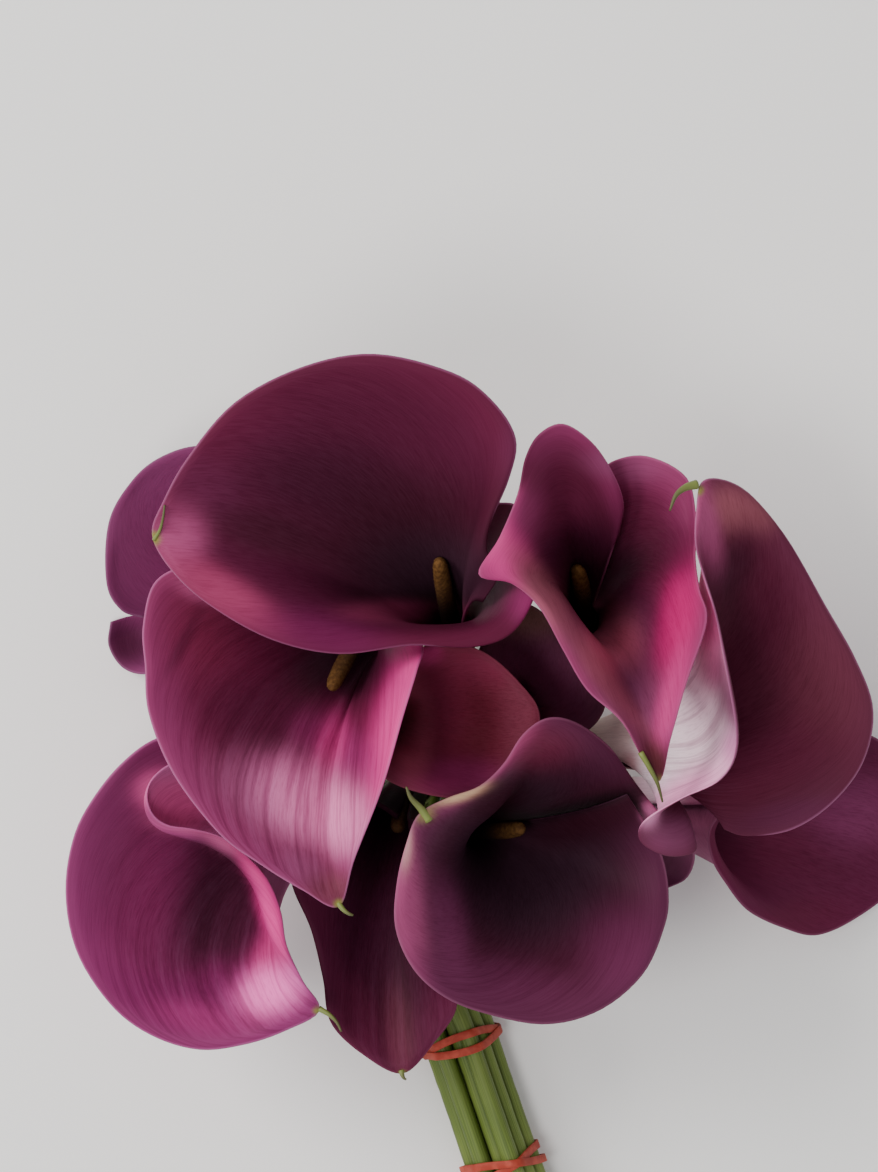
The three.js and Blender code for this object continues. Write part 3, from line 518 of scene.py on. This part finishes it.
def sheet_of(flower, rim):
    """The middle surface of a spathe as columns of points, with each column's share of the rim."""
    places = np.linspace(0, 1, SHEET_COLUMNS + 1)
    step = 1 / COARSE_COLUMNS
    face = unit(flower["face"])
    lean = unit(flower["lean"])
    foot = seen(flower["foot"])
    points = [seen(p) for p in rim]
    rims = spline(points, places)
    beside = spline(points, places + step) - spline(points, places - step)
    flares = [p[3] if len(p) > 3 else flower["flare"] for p in rim]
    reaches = [p[4] if len(p) > 4 else REACH for p in rim]
    knots = np.linspace(0, 1, len(flares))
    blur = 0.5 * SHEET_COLUMNS / len(flares)
    flare = soften(np.radians(np.interp(places, knots, flares)), blur)
    reach = soften(np.interp(places, knots, reaches), blur)

    # Which way round the foot each column lies, by its share of the rim.
    first = unit(np.array([1.0, 0, 0]) - face * face[0])
    second = np.cross(face, first)
    middles = np.array([seen([*flower["centre"], z]) for z in rims[:, 2]])
    spokes = rims - middles
    turns = np.unwrap(np.arctan2(spokes @ second, spokes @ first))
    lengths = run_of(rims)
    share = lengths / lengths[-1]
    whole = turns[-1] - turns[0]
    hand = math.copysign(1, whole)
    turn = turns[0] + whole * share
    spoke = np.cos(turn)[:, None] * first + np.sin(turn)[:, None] * second
    start = tilted(spoke, face, lean) * (BASE_RADIUS + BASE_SPREAD * (share - 0.5))[:, None] + foot

    # Which way the sheet opens at each column: away from the tube, and square to the rim.
    square = unit(np.cross(beside, face)) * hand
    axis_points = foot + lean * ((rims - foot) @ lean)[:, None]
    radial = rims - axis_points
    radial = unit(radial - face * (radial @ face)[:, None])
    squareness = flower.get("squareness", SQUARENESS)
    outward = unit(radial * (1 - squareness) + square * squareness)
    outward = unit(soften(outward, blur * 0.6))

    def heading(angle):
        return face * np.cos(angle)[:, None] + outward * np.sin(angle)[:, None]

    # Up from the foot to the crest, and over it by the roll.
    ease = np.minimum(1, ROLL_EASE * np.minimum(share, 1 - share))
    bend = math.radians(flower["roll"]) * ease / ROLL_ROWS
    angles = [flare + bend * (k + 0.5) for k in range(ROLL_ROWS)]
    steps = [heading(angle) * ROLL_LENGTH / ROLL_ROWS for angle in angles]
    crest = rims - sum(steps)
    climb = (crest - start) @ lean
    aside = np.linalg.norm(crest - start - lean * climb[:, None], axis=1)
    leave = start + lean * (flower.get("climb", CLIMB) * climb)[:, None]
    near = crest - heading(flare) * (reach * aside)[:, None]
    rows = []
    for k in range(SHEET_ROWS + 1):
        t = k / SHEET_ROWS
        rows.append(
            start * (1 - t) ** 3
            + 3 * leave * t * (1 - t) ** 2
            + 3 * near * t ** 2 * (1 - t)
            + crest * t ** 3
        )
    edge = crest
    for one in steps:
        edge = edge + one
        rows.append(edge)
    grid = np.stack(rows, 1)

    # Creases between foot and rim are softened, away from the two margins.
    up = np.linspace(0, 1, SHEET_ROWS + ROLL_ROWS + 1)
    inner = smooth(up, 0.2, 0.45) * smooth(up, 0.98, 0.75)
    ends = smooth(np.minimum(share, 1 - share), 0.0, 0.12)
    calm = soften(grid, CREASE_WIDTH) - grid
    grid = grid + calm * (ends[:, None] * inner[None, :])[:, :, None]
    return grid, share, hand


def linked(name, data, place=(0, 0, 0)):
    """A new object of the scene."""
    made = bpy.data.objects.new(name, data)
    made.location = place
    bpy.context.scene.collection.objects.link(made)
    return made


def mesh_object(name, verts, faces, attributes, material):
    """A mesh in metres from layout millimetres, with float attributes on its points."""
    mesh = bpy.data.meshes.new(name)
    placed = (np.asarray(verts, float) + SHIFT) * MM
    mesh.from_pydata(placed.tolist(), [], [list(map(int, f)) for f in faces])
    for key, values in attributes.items():
        values = np.asarray(values, np.float32)
        kind, field = ("FLOAT", "value") if values.ndim == 1 else ("FLOAT_VECTOR", "vector")
        layer = mesh.attributes.new(key, kind, "POINT")
        layer.data.foreach_set(field, values.ravel())
    mesh.polygons.foreach_set("use_smooth", [True] * len(mesh.polygons))
    mesh.materials.append(material)
    mesh.update()
    return linked(name, mesh)


def laid(grid, patches, values):
    """Values over a sheet, drawn towards each patch's own value or tone inside the patch."""
    nearness = (EYE_HEIGHT + EYE_LEVEL - grid[:, :, 2]) / EYE_HEIGHT
    for x, y, half_length, half_width, turn, *rest in patches:
        aside = grid[:, :, 0] / nearness - x
        ahead = grid[:, :, 1] / nearness - y
        cosine = math.cos(math.radians(turn))
        sine = math.sin(math.radians(turn))
        long_way = (aside * cosine + ahead * sine) / half_length
        wide_way = (ahead * cosine - aside * sine) / half_width
        amount = np.exp(-((long_way ** 2 + wide_way ** 2) ** 1.5))
        if len(rest) == 2:
            amount = (amount * rest[0])[:, :, None]
            values = values + (tone(TONES[rest[1]]) - values) * amount
        else:
            values = values + (rest[0] - values) * amount
    return values


def tints_and_painted_light_of(letter, grid, up, to_rim):
    """The colours of a sheet's two sides: the zones from foot to rim, then the tints with their
    painted shade and painted highlights over them.
    """
    look = LOOKS[letter]
    tones = {key: tone(value) for key, value in look.items() if isinstance(value, str)}

    def blend(amount, first, second):
        return first + (second - first) * amount[:, :, None]

    dark = look["dark"]
    # Inside, the dark throat tone is painted shade, giving way to the blade as the sheet rises.
    inside = blend(smooth(up, dark - 0.35, dark + 0.15), tones["throat"], tones["blade"])
    inside = blend(0.85 * smooth(to_rim, 17.0, 0.5), inside, tones["lip"])
    inside = laid(grid, TINTS_AND_PAINTED_LIGHT.get(letter, ()), inside)
    outside = blend(smooth(up, 0.01, 0.16), tone(STALK_TINT), tones["foot"])
    outside = blend(smooth(up, 0.03, 0.4), outside, tones["flank"])
    outside = blend(0.9 * smooth(to_rim, 20.0, 1.0), outside, tones["back"])
    outside = laid(grid, OUTER_TINTS_AND_PAINTED_LIGHT.get(letter, ()), outside)
    return inside, outside


def shell_of(columns, rows, hand):
    """The faces of a sheet with two sides and a border, front points first and then rear ones."""
    index = np.arange(columns * rows).reshape(columns, rows)
    back = index + columns * rows
    a, b, c, d = index[:-1, :-1], index[1:, :-1], index[1:, 1:], index[:-1, 1:]
    quads = [np.stack([a, d, c, b], -1).reshape(-1, 4)]
    quads.append(quads[0][:, [0, 3, 2, 1]] + columns * rows)
    borders = [(index[:, -1], back[:, -1]), (index[::-1, 0], back[::-1, 0])]
    borders += [(index[0], back[0]), (index[-1, ::-1], back[-1, ::-1])]
    for inner, outer in borders:
        quads.append(np.stack([inner[:-1], outer[:-1], outer[1:], inner[1:]], -1))
    faces = np.concatenate(quads)
    return faces if hand > 0 else faces[:, ::-1]


def swells(place_up, place_round, rng):
    """Soft waves, which run up a sheet and fade out at its foot."""
    height = np.zeros(place_up.shape)
    for _ in range(SWELLS):
        waves = rng.uniform(2, 9)
        phase, other = rng.uniform(0, ROUND, 2)
        bent = phase + 2.2 * np.sin(2 * place_up + other)
        height += np.sin(ROUND * waves * place_round + bent) / waves
    return SWELL * height * place_up ** 2


def spathe(letter, flower):
    """A spathe: its middle surface thickened to both sides, thinner towards the rim."""
    grid, share, hand = sheet_of(flower, RIMS[letter])
    columns, rows = grid.shape[:2]
    up = np.gradient(grid, axis=1)
    across = np.gradient(grid, axis=0)
    normal = np.cross(across, up) * hand
    lean = unit(flower["lean"])
    normal[:, 0] -= (normal[:, 0] @ lean)[:, None] * lean
    normal = unit(normal)
    place_up = np.linspace(0, 1, rows)[None, :].repeat(columns, 0)
    place_round = share[:, None].repeat(rows, 1)
    rng = np.random.default_rng(ord(letter))
    grid = grid + normal * swells(place_up, place_round, rng)[:, :, None]

    half = 0.5 * (FOOT_THICKNESS + (RIM_THICKNESS - FOOT_THICKNESS) * place_up)
    half[:, -1] *= RIM_TAPER
    # The outward normal points away from the tube's axis, so the front is the sheet's inside.
    front = grid - normal * half[:, :, None]
    rear = grid + normal * half[:, :, None]
    verts = np.concatenate([front.reshape(-1, 3), rear.reshape(-1, 3)])
    faces = shell_of(columns, rows, hand)

    # How far each point is from the rim, on which vein it lies, and how near to the apex.
    lengths = np.linalg.norm(np.diff(grid, axis=1), axis=2)
    to_rim = np.concatenate([lengths[:, ::-1].cumsum(1)[:, ::-1], np.zeros((columns, 1))], 1)
    girth = np.linalg.norm(np.diff(grid[:, -1], axis=0), axis=1).sum()
    apex_share = 0.5
    green = np.zeros((columns, rows))
    for x, y, z, radius in APEX.get(letter, ()):
        place = seen([x, y, z])
        apex_share = share[np.argmin(np.linalg.norm(grid[:, -1] - place, axis=1))]
        far = np.linalg.norm(grid - place, axis=2)
        green = np.maximum(green, np.exp(-((far / radius) ** 2)))
    from_apex = (place_round - apex_share) * girth / VEIN_SPACING
    streak = np.full((columns, rows), LOOKS[letter]["streak"])
    marks = {
        "up": place_up,
        "vein": from_apex / (1 - VEIN_SWEEP * place_up ** 2),
        "edge": laid(grid, PLAIN_RIM.get(letter, ()), to_rim),
        "streaked": laid(grid, STREAKED.get(letter, ()), streak),
        "green": green,
    }
    attributes = {key: np.concatenate([value.ravel()] * 2) for key, value in marks.items()}
    # The tint attribute holds the tones together with their painted shade and painted highlights.
    inside, outside = tints_and_painted_light_of(letter, grid, place_up, to_rim)
    attributes["tint"] = np.concatenate([inside.reshape(-1, 3), outside.reshape(-1, 3)])
    made = mesh_object("petal_" + letter, verts, faces, attributes, petal_material(letter))
    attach(made, "root")
    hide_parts("spathe_" + letter)


def tube(name, centres, radii, sides, material, marks=(), bumps=None):
    """A round body along centres, closed at both ends, with marks for its points."""
    centres = np.asarray(centres, float)
    count = len(centres)
    forward = unit(np.gradient(centres, axis=0))
    side = np.cross(forward[0], [0, 0, 1.0])
    if np.linalg.norm(side) < 0.1:
        side = np.array([1.0, 0, 0])
    verts = []
    turns = np.arange(sides) * 2 * math.pi / sides
    for i in range(count):
        side = unit(side - forward[i] * (side @ forward[i]))
        other = np.cross(forward[i], side)
        radius = radii[i] * (bumps[i] if bumps is not None else 1.0)
        ring = np.outer(np.cos(turns), side) + np.outer(np.sin(turns), other)
        verts.append(centres[i] + ring * np.reshape(radius * np.ones(sides), (-1, 1)))
    verts = np.concatenate(verts)
    faces = []
    for i in range(count - 1):
        for k in range(sides):
            m = (k + 1) % sides
            low, high = i * sides, (i + 1) * sides
            faces.append((low + k, low + m, high + m, high + k))
    faces.append(tuple(range(sides))[::-1])
    faces.append(tuple((count - 1) * sides + k for k in range(sides)))
    values = {"along": np.linspace(0, 1, count).repeat(sides), **dict(marks)}
    return mesh_object(name, verts, faces, values, material)


class Graph:
    """The nodes of one material, with a short way to add each kind."""

    def __init__(self, name):
        self.material = bpy.data.materials.new(name)
        self.material.use_nodes = True
        self.nodes = self.material.node_tree.nodes
        self.links = self.material.node_tree.links
        self.shader = self.nodes["Principled BSDF"]

    def put(self, socket, value):
        """Links a socket's value, or sets it directly where it is the same all over."""
        if isinstance(value, str):
            value = colour(value)
        if isinstance(value, bpy.types.NodeSocket):
            self.links.new(value, socket)
        else:
            socket.default_value = value

    def add(self, kind, settings, inputs, output):
        """A node with its settings and inputs, and the named or numbered output of it."""
        node = self.nodes.new("ShaderNode" + kind)
        for key, value in settings.items():
            setattr(node, key, value)
        for key, value in inputs.items():
            self.put(node.inputs[key], value)
        return node.outputs[output]

    def mark(self, name, output="Fac"):
        return self.add("Attribute", {"attribute_name": name}, {}, output)

    def places(self):
        return self.add("TexCoord", {}, {}, "Object")

    def plus(self, first, second):
        return self.add("Math", {"operation": "ADD"}, {0: first, 1: second}, 0)

    def times(self, first, second):
        return self.add("Math", {"operation": "MULTIPLY"}, {0: first, 1: second}, 0)

    def ease(self, value, low, high, out_low=0.0, out_high=1.0):
        ends = {"From Min": low, "From Max": high, "To Min": out_low, "To Max": out_high}
        settings = {"interpolation_type": "SMOOTHSTEP"}
        return self.add("MapRange", settings, {"Value": value, **ends}, "Result")

    def mix(self, amount, first, second, kind="MIX"):
        settings = {"data_type": "RGBA", "blend_type": kind}
        return self.add("Mix", settings, {"Factor": amount, 6: first, 7: second}, 2)

    def vector(self, x, y, z):
        return self.add("CombineXYZ", {}, {0: x, 1: y, 2: z}, 0)

    def noise(self, vector, scale, detail=3.0, rough=0.5):
        inputs = {"Vector": vector, "Scale": scale, "Detail": detail, "Roughness": rough}
        return self.add("TexNoise", {}, inputs, "Fac")

    def bump(self, height, strength, distance):
        inputs = {"Strength": strength, "Distance": distance, "Height": height}
        self.put(self.shader.inputs["Normal"], self.add("Bump", {}, inputs, "Normal"))

    def finish(self, base, roughness, shine=0.5):
        self.put(self.shader.inputs["Base Color"], base)
        self.put(self.shader.inputs["Roughness"], roughness)
        self.put(self.shader.inputs["Specular IOR Level"], shine)
        return self.material


def petal_material(letter):
    """The sheet's tints, with streaks from foot to rim, a thin pale rim line and a green apex."""
    g = Graph("petal_" + letter)
    seed = float(ord(letter))
    up = g.mark("up")
    vein = g.mark("vein")

    def along_veins(across, across_scale, up_scale, detail=3.0, rough=0.5):
        """Noise drawn out along the veins."""
        place = g.vector(g.times(across, across_scale), g.times(up, up_scale), seed)
        return g.noise(place, 1.0, detail, rough)

    wander = along_veins(vein, 0.25, 3.0, 2.0)
    drift = g.plus(vein, g.times(wander, 0.8))
    fine = along_veins(drift, 3.2, 1.6, 3.0, 0.6)
    broad = along_veins(drift, 1.0, 1.3, 2.0)
    grain = along_veins(drift, 9.0, 24.0, 3.0, 0.6)
    veins = g.plus(g.times(fine, 0.4), g.times(broad, 0.6))

    # The streaks darken the sheet. Where they are strong, as on the lit lower walls, their pale
    # side is
    #     a painted satin highlight over the real vein pattern.
    streak = g.ease(veins, 0.36, 0.64)
    amount = g.mark("streaked")
    flesh = g.mark("tint", "Color")
    deep = g.mix(1.0, flesh, "b08aa0", "MULTIPLY")
    flesh = g.mix(g.times(g.ease(streak, 0.6, 0.0), amount), flesh, deep)
    painted_sheen = g.mix(1.0, flesh, "8c5c80", "SCREEN")
    most = g.times(amount, amount)
    flesh = g.mix(g.times(g.ease(streak, 0.5, 1.0, 0.0, 0.35), most), flesh, painted_sheen)

    # The rim line and the apex.
    flesh = g.mix(g.ease(g.mark("edge"), 0.8, 0.15, 0.0, 0.45), flesh, LOOKS[letter]["edge"])
    flesh = g.mix(g.ease(g.mark("green"), 0.1, 0.9, 0.0, 0.9), flesh, "7a7c34")

    # The grain: pale and shaded fibres along the veins.
    pale = g.mix(1.0, flesh, "1a1218", "SCREEN")
    flesh = g.mix(g.ease(grain, 0.42, 0.7, 0.0, 0.4), flesh, pale)
    shade = g.mix(1.0, flesh, "dccdd4", "MULTIPLY")
    flesh = g.mix(g.ease(grain, 0.55, 0.3, 0.0, 0.5), flesh, shade)
    g.bump(g.plus(veins, g.times(grain, 0.7)), 0.2, 0.0004)
    return g.finish(flesh, g.ease(fine, 0.2, 0.8, 0.42, 0.55), shine=0.05)


def spadix_material():
    """Ochre grains, darker towards the foot with the throat's painted shade, and dimmed with
    painted shade where another flower shades them.
    """
    g = Graph("spadix")
    grain = g.noise(g.places(), 900.0, 2.0)
    base = g.mix(g.ease(grain, 0.35, 0.65), "583a1c", "76522a")
    # Painted shade deep in the throat, towards the spadix's foot.
    base = g.mix(g.ease(g.mark("along"), 0.45, 1.0), "1c0e0c", base)
    base = g.mix(g.mark("dim"), base, "281410")
    g.bump(grain, 0.3, 0.0003)
    return g.finish(base, 0.8, shine=0.1)


def stem_material():
    """Green fibres along the stem, a pale cut end and the cap in the throat painted dark with
    the throat's shade.
    """
    g = Graph("stem")
    along = g.mark("along")
    painted_shade_cap = (0.991, 1.0)
    fibre = g.noise(g.vector(g.times(g.mark("turn"), 5.0), g.times(along, 6.0), 1.0), 1.0, 3.0)
    patch = g.noise(g.places(), 30.0, 3.0)
    base = g.mix(g.ease(fibre, 0.3, 0.7), "46581c", "687a32")
    base = g.mix(g.ease(patch, 0.4, 0.75, 0.0, 0.4), base, "8e9c50")
    base = g.mix(g.ease(along, *painted_shade_cap), base, "1c1210")
    base = g.mix(g.ease(along, 0.012, 0.002), base, "b4be84")
    g.bump(fibre, 0.3, 0.0005)
    return g.finish(base, g.ease(patch, 0.2, 0.8, 0.45, 0.6), shine=g.ease(along, *painted_shade_cap, 0.3, 0.0))


def band_material():
    """Dull red rubber."""
    g = Graph("rubber")
    grain = g.noise(g.places(), 400.0, 3.0)
    base = g.mix(g.ease(grain, 0.35, 0.7), "94301f", "ac4432")
    g.bump(grain, 0.3, 0.0003)
    return g.finish(base, 0.58, shine=0.3)


def tail_material():
    """Green, darker towards the tip."""
    g = Graph("tail")
    base = g.mix(g.ease(g.mark("along"), 0.0, 0.8), "6f7a36", "4a4a20")
    return g.finish(base, 0.55)


def floor_material():
    """Nearly even off-white."""
    g = Graph("paper")
    cloud = g.noise(g.places(), 3.0, 2.0)
    base = g.mix(g.ease(cloud, 0.3, 0.7), "f8f6f3", "faf8f5")
    return g.finish(base, 0.9)


def in_bundle(distance, pitches, height):
    """A point of the bundle: how far along it, how many pitches across, and its height."""
    along = np.array([math.sin(BUNDLE_TURN), -math.cos(BUNDLE_TURN)])
    across = np.array([-along[1], along[0]])
    place = TIE_POINT + along * distance + across * pitches * STEM_PITCH
    return np.array([place[0], place[1], height])


def centripetal(points, count):
    """A curve through points that never overshoots, evenly divided between neighbours."""
    points = [np.asarray(p, float) for p in points]
    points = [2 * points[0] - points[1]] + points + [2 * points[-1] - points[-2]]
    out = []
    for i in range(1, len(points) - 2):
        near = points[i - 1:i + 3]
        knot = [0.0]
        for a, b in zip(near, near[1:]):
            knot.append(knot[-1] + max(np.linalg.norm(b - a), 1e-4) ** 0.5)
        last = i == len(points) - 3
        for s in np.linspace(0, 1, count + 1)[: None if last else -1]:
            t = knot[1] + (knot[2] - knot[1]) * s
            level = near
            for reach in (1, 2):
                level = [
                    level[k] * (knot[k + reach] - t) / (knot[k + reach] - knot[k])
                    + level[k + 1] * (t - knot[k]) / (knot[k + reach] - knot[k])
                    for k in range(len(level) - 1)
                ]
            span = knot[2] - knot[1]
            out.append(level[0] * (knot[2] - t) / span + level[1] * (t - knot[1]) / span)
    return np.array(out)


def stem(letter, flower, order, material):
    """A stem: from its cut end through both bands and up to the collar under the spathe."""
    pitches, row = flower["slot"]
    height = BOTTOM_ROW + row * ROW_RISE
    lean = unit(flower["lean"])
    top = seen(flower["foot"]) - lean * GAP
    end_at = STEM_END_AT + END_STAGGER * math.sin(END_TURN * order)
    middle_at = (LOWER_BAND_AT + end_at) / 2
    points = [
        in_bundle(end_at, pitches * STEM_FAN, height - BAND_THICKNESS),
        in_bundle(middle_at, pitches * (1 + STEM_FAN) / 2, height - BAND_THICKNESS / 2),
        in_bundle(LOWER_BAND_AT, pitches, height),
        in_bundle(0, pitches, height),
        in_bundle(-NECK_AT, pitches * NECK_FAN, BOTTOM_ROW + row * ROW_RISE * NECK_FAN),
        *[np.array(p, float) for p in flower["route"][::-1]],
        top - lean * COLLAR_LENGTH,
        top - lean * COLLAR_LENGTH / 5,
        top,
    ]
    centres = centripetal(points, STEM_STEPS)
    rng = np.random.default_rng(order + 40)
    from_top = np.minimum(1, np.linalg.norm(centres - top, axis=1) / COLLAR_LENGTH)
    radii = COLLAR_RADIUS + (STEM_RADIUS - COLLAR_RADIUS) * from_top ** COLLAR_TAPER
    radii = radii * (1 + STEM_UNEVENNESS * rng.standard_normal(len(radii)))
    radii[0] *= CUT_SHARE
    # A ring just inside the top, so that only the cap in the throat takes the painted shade.
    centres = np.vstack([centres, top + lean * CAP_RISE])
    radii = np.append(radii, COLLAR_RADIUS * CAP_SHARE)
    ribs = np.sin(np.arange(STEM_SIDES) * 2 * math.pi / STEM_SIDES * STEM_RIBS) + order
    marks = {"turn": np.tile(ribs, len(centres))}
    made = tube("stalk_" + letter, centres, radii, STEM_SIDES, material, marks)
    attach(made, "root")
    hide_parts("stem_" + letter)


def spadix(letter, flower, material):
    """A blunt rod covered in small grains, in rows along it and round it."""
    lean = unit(flower["lean"])
    foot = seen(flower["foot"]) + lean * GAP
    tip = seen(flower["tip"])
    middle = foot + lean * 0.5 * np.linalg.norm(tip - foot)
    t = np.linspace(0, 1, SPADIX_RINGS)[:, None]
    centres = foot * (1 - t) ** 2 + 2 * middle * t * (1 - t) + tip * t ** 2
    stations = [0, 0.25, 0.5, 0.8, 0.93, 0.975, 1]
    shape = np.interp(t[:, 0], stations, [1, 0.95, 0.9, 0.86, 0.76, 0.55, 0.1])
    rings = np.cos(2 * math.pi * np.arange(SPADIX_RINGS) / GRAIN_PITCH)
    sides = np.cos(2 * math.pi * np.arange(SPADIX_SIDES) / GRAIN_PITCH)
    grains = 1 - GRAIN_DEPTH + GRAIN_DEPTH * (rings[:, None] * sides[None, :])
    marks = {"dim": np.full(SPADIX_RINGS * SPADIX_SIDES, DIMMED.get(letter, 0.0))}
    radii = shape * SPADIX_RADIUS * 0.98
    made = tube("spike_" + letter, centres, radii, SPADIX_SIDES, material, marks, grains)
    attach(made, "root")
    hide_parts("spadix_" + letter)


def band_path(radius, count):
    """Even points round the outer stems of the bundle, as places across and up."""
    corners = [(1, 0), (1.5, 1), (0.5, 3), (-1, 2), (-1.5, 1), (-1, 0)]
    places = np.array([(p * STEM_PITCH, BOTTOM_ROW + r * ROW_RISE) for p, r in corners])
    outline = []
    for i, place in enumerate(places):
        before = places[i - 1]
        after = places[(i + 1) % len(places)]
        start = math.atan2(before[0] - place[0], place[1] - before[1])
        end = math.atan2(place[0] - after[0], after[1] - place[1])
        end += 2 * math.pi * (end < start)
        for turn in np.linspace(start, end, 9):
            outline.append(place + radius * np.array([math.cos(turn), math.sin(turn)]))
    outline.append(outline[0])
    outline = np.array(outline)
    lengths = run_of(outline)
    even = np.linspace(0, lengths[-1], count, endpoint=False)
    return np.stack([np.interp(even, lengths, outline[:, k]) for k in range(2)], 1)


def band(name, node, distance, phase, material):
    """A rubber band wound twice: two flat strands that cross on their way round."""
    verts = []
    faces = []
    section = [
        (-1.05, 0.1), (-0.9, 0.0), (0.9, 0.0), (1.05, 0.1),
        (1.05, 0.55), (0.9, 0.68), (-0.9, 0.68), (-1.05, 0.55),
    ]
    size = len(section)
    across = (in_bundle(0, 1, 0) - in_bundle(0, 0, 0)) / STEM_PITCH
    for strand in range(STRANDS):
        first = len(verts)
        inner = STEM_RADIUS + BAND_SLACK + strand * STRAND_RISE
        path = band_path(inner, BAND_STEPS)
        outer = band_path(inner + 1.0, BAND_STEPS)
        for i in range(BAND_STEPS):
            turn = 2 * math.pi * i / BAND_STEPS
            sway = STRAND_SWAY * math.cos(turn + phase + math.pi * strand)
            out = unit(outer[i] - path[i])
            for wide, deep in section:
                aside, up = path[i] + out * deep
                verts.append(in_bundle(distance + sway + wide, 0, up) + across * aside)
        for i in range(BAND_STEPS):
            here = first + i * size
            there = first + ((i + 1) % BAND_STEPS) * size
            for k in range(size):
                m = (k + 1) % size
                faces.append((here + k, here + m, there + m, there + k))
    made = mesh_object(name, verts, faces, {}, material)
    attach(made, "root")
    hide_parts(node)


def tail(letter, points, material):
    """The thin green thread that an apex ends in."""
    places = spline([seen(p) for p in points], np.linspace(0, 1, TAIL_RINGS))
    radii = np.linspace(TAIL_RADIUS.get(letter, TAIL_START), TAIL_END, TAIL_RINGS)
    made = tube("tail_" + letter, places, radii, TAIL_SIDES, material)
    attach(made, "root")


def area_light(name, offset, size, watts, tint):
    """A round light beside the bunch's middle, at a height, turned to that middle."""
    data = bpy.data.lights.new(name, "AREA")
    data.shape = "DISK"
    data.size = size
    data.energy = watts
    data.color = tint
    lamp = linked(name, data, (AIM[0] + offset[0], AIM[1] + offset[1], offset[2]))
    track = lamp.constraints.new("TRACK_TO")
    track.target = linked(name + "_aim", None, AIM)
    track.track_axis = "TRACK_NEGATIVE_Z"
    track.up_axis = "UP_Y"
    return lamp


# The plan's middle, from where the upper band of the solid part lies.
low_corner, high_corner = (np.array(c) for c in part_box("band_upper"))
band_centre = (low_corner + high_corner) / 2 / MM
SHIFT = np.array([*(band_centre[:2] - TIE_POINT), low_corner[2] / MM])
AIM = tuple((SHIFT + np.array([0, 0, 40])) * MM)

stalk_green = stem_material()
spike_ochre = spadix_material()
rubber = band_material()
tail_green = tail_material()
for number, (letter, flower) in enumerate(FLOWERS.items()):
    spathe(letter, flower)
    spadix(letter, flower, spike_ochre)
    stem(letter, flower, number, stalk_green)
for letter, points in TAILS.items():
    tail(letter, points, tail_green)
band("rubber_upper", "band_upper", 0.0, 0.6, rubber)
band("rubber_lower", "band_lower", LOWER_BAND_AT, 2.4, rubber)

# A floor of three metres to each side.
SIDE = 3.0
corners = [(-SIDE, -SIDE, 0), (SIDE, -SIDE, 0), (SIDE, SIDE, 0), (-SIDE, SIDE, 0)]
floor_mesh = bpy.data.meshes.new("surface")
floor_mesh.from_pydata(corners, [], [(0, 1, 2, 3)])
floor_mesh.materials.append(floor_material())
floor = linked("surface", floor_mesh)

# Soft daylight from a window at the upper left, a weak fill and the room's own light.
world = bpy.data.worlds.new("air")
bpy.context.scene.world = world
world.use_nodes = True
background = world.node_tree.nodes["Background"]
background.inputs["Color"].default_value = (0.95, 0.97, 1.0, 1.0)
background.inputs["Strength"].default_value = 0.7
window = area_light("window", (-1.25, 0.45, 1.15), 1.0, 27.0, (1.0, 0.985, 0.96))
fill = area_light("fill", (-0.4, -0.3, 1.4), 0.5, 7.5, (1.0, 0.98, 0.97))

camera_data = bpy.data.cameras.new("eye")
camera_data.type = "PERSP"
camera_data.sensor_fit = "VERTICAL"
camera_data.sensor_height = SENSOR_HEIGHT
camera_data.lens = SENSOR_HEIGHT / (PLAN_HEIGHT / EYE_HEIGHT)
camera_data.clip_end = FAR_CLIP
above = (SHIFT + np.array([0, 0, EYE_HEIGHT + EYE_LEVEL])) * MM
camera = linked("eye", camera_data, tuple(above))
bpy.context.scene.camera = camera
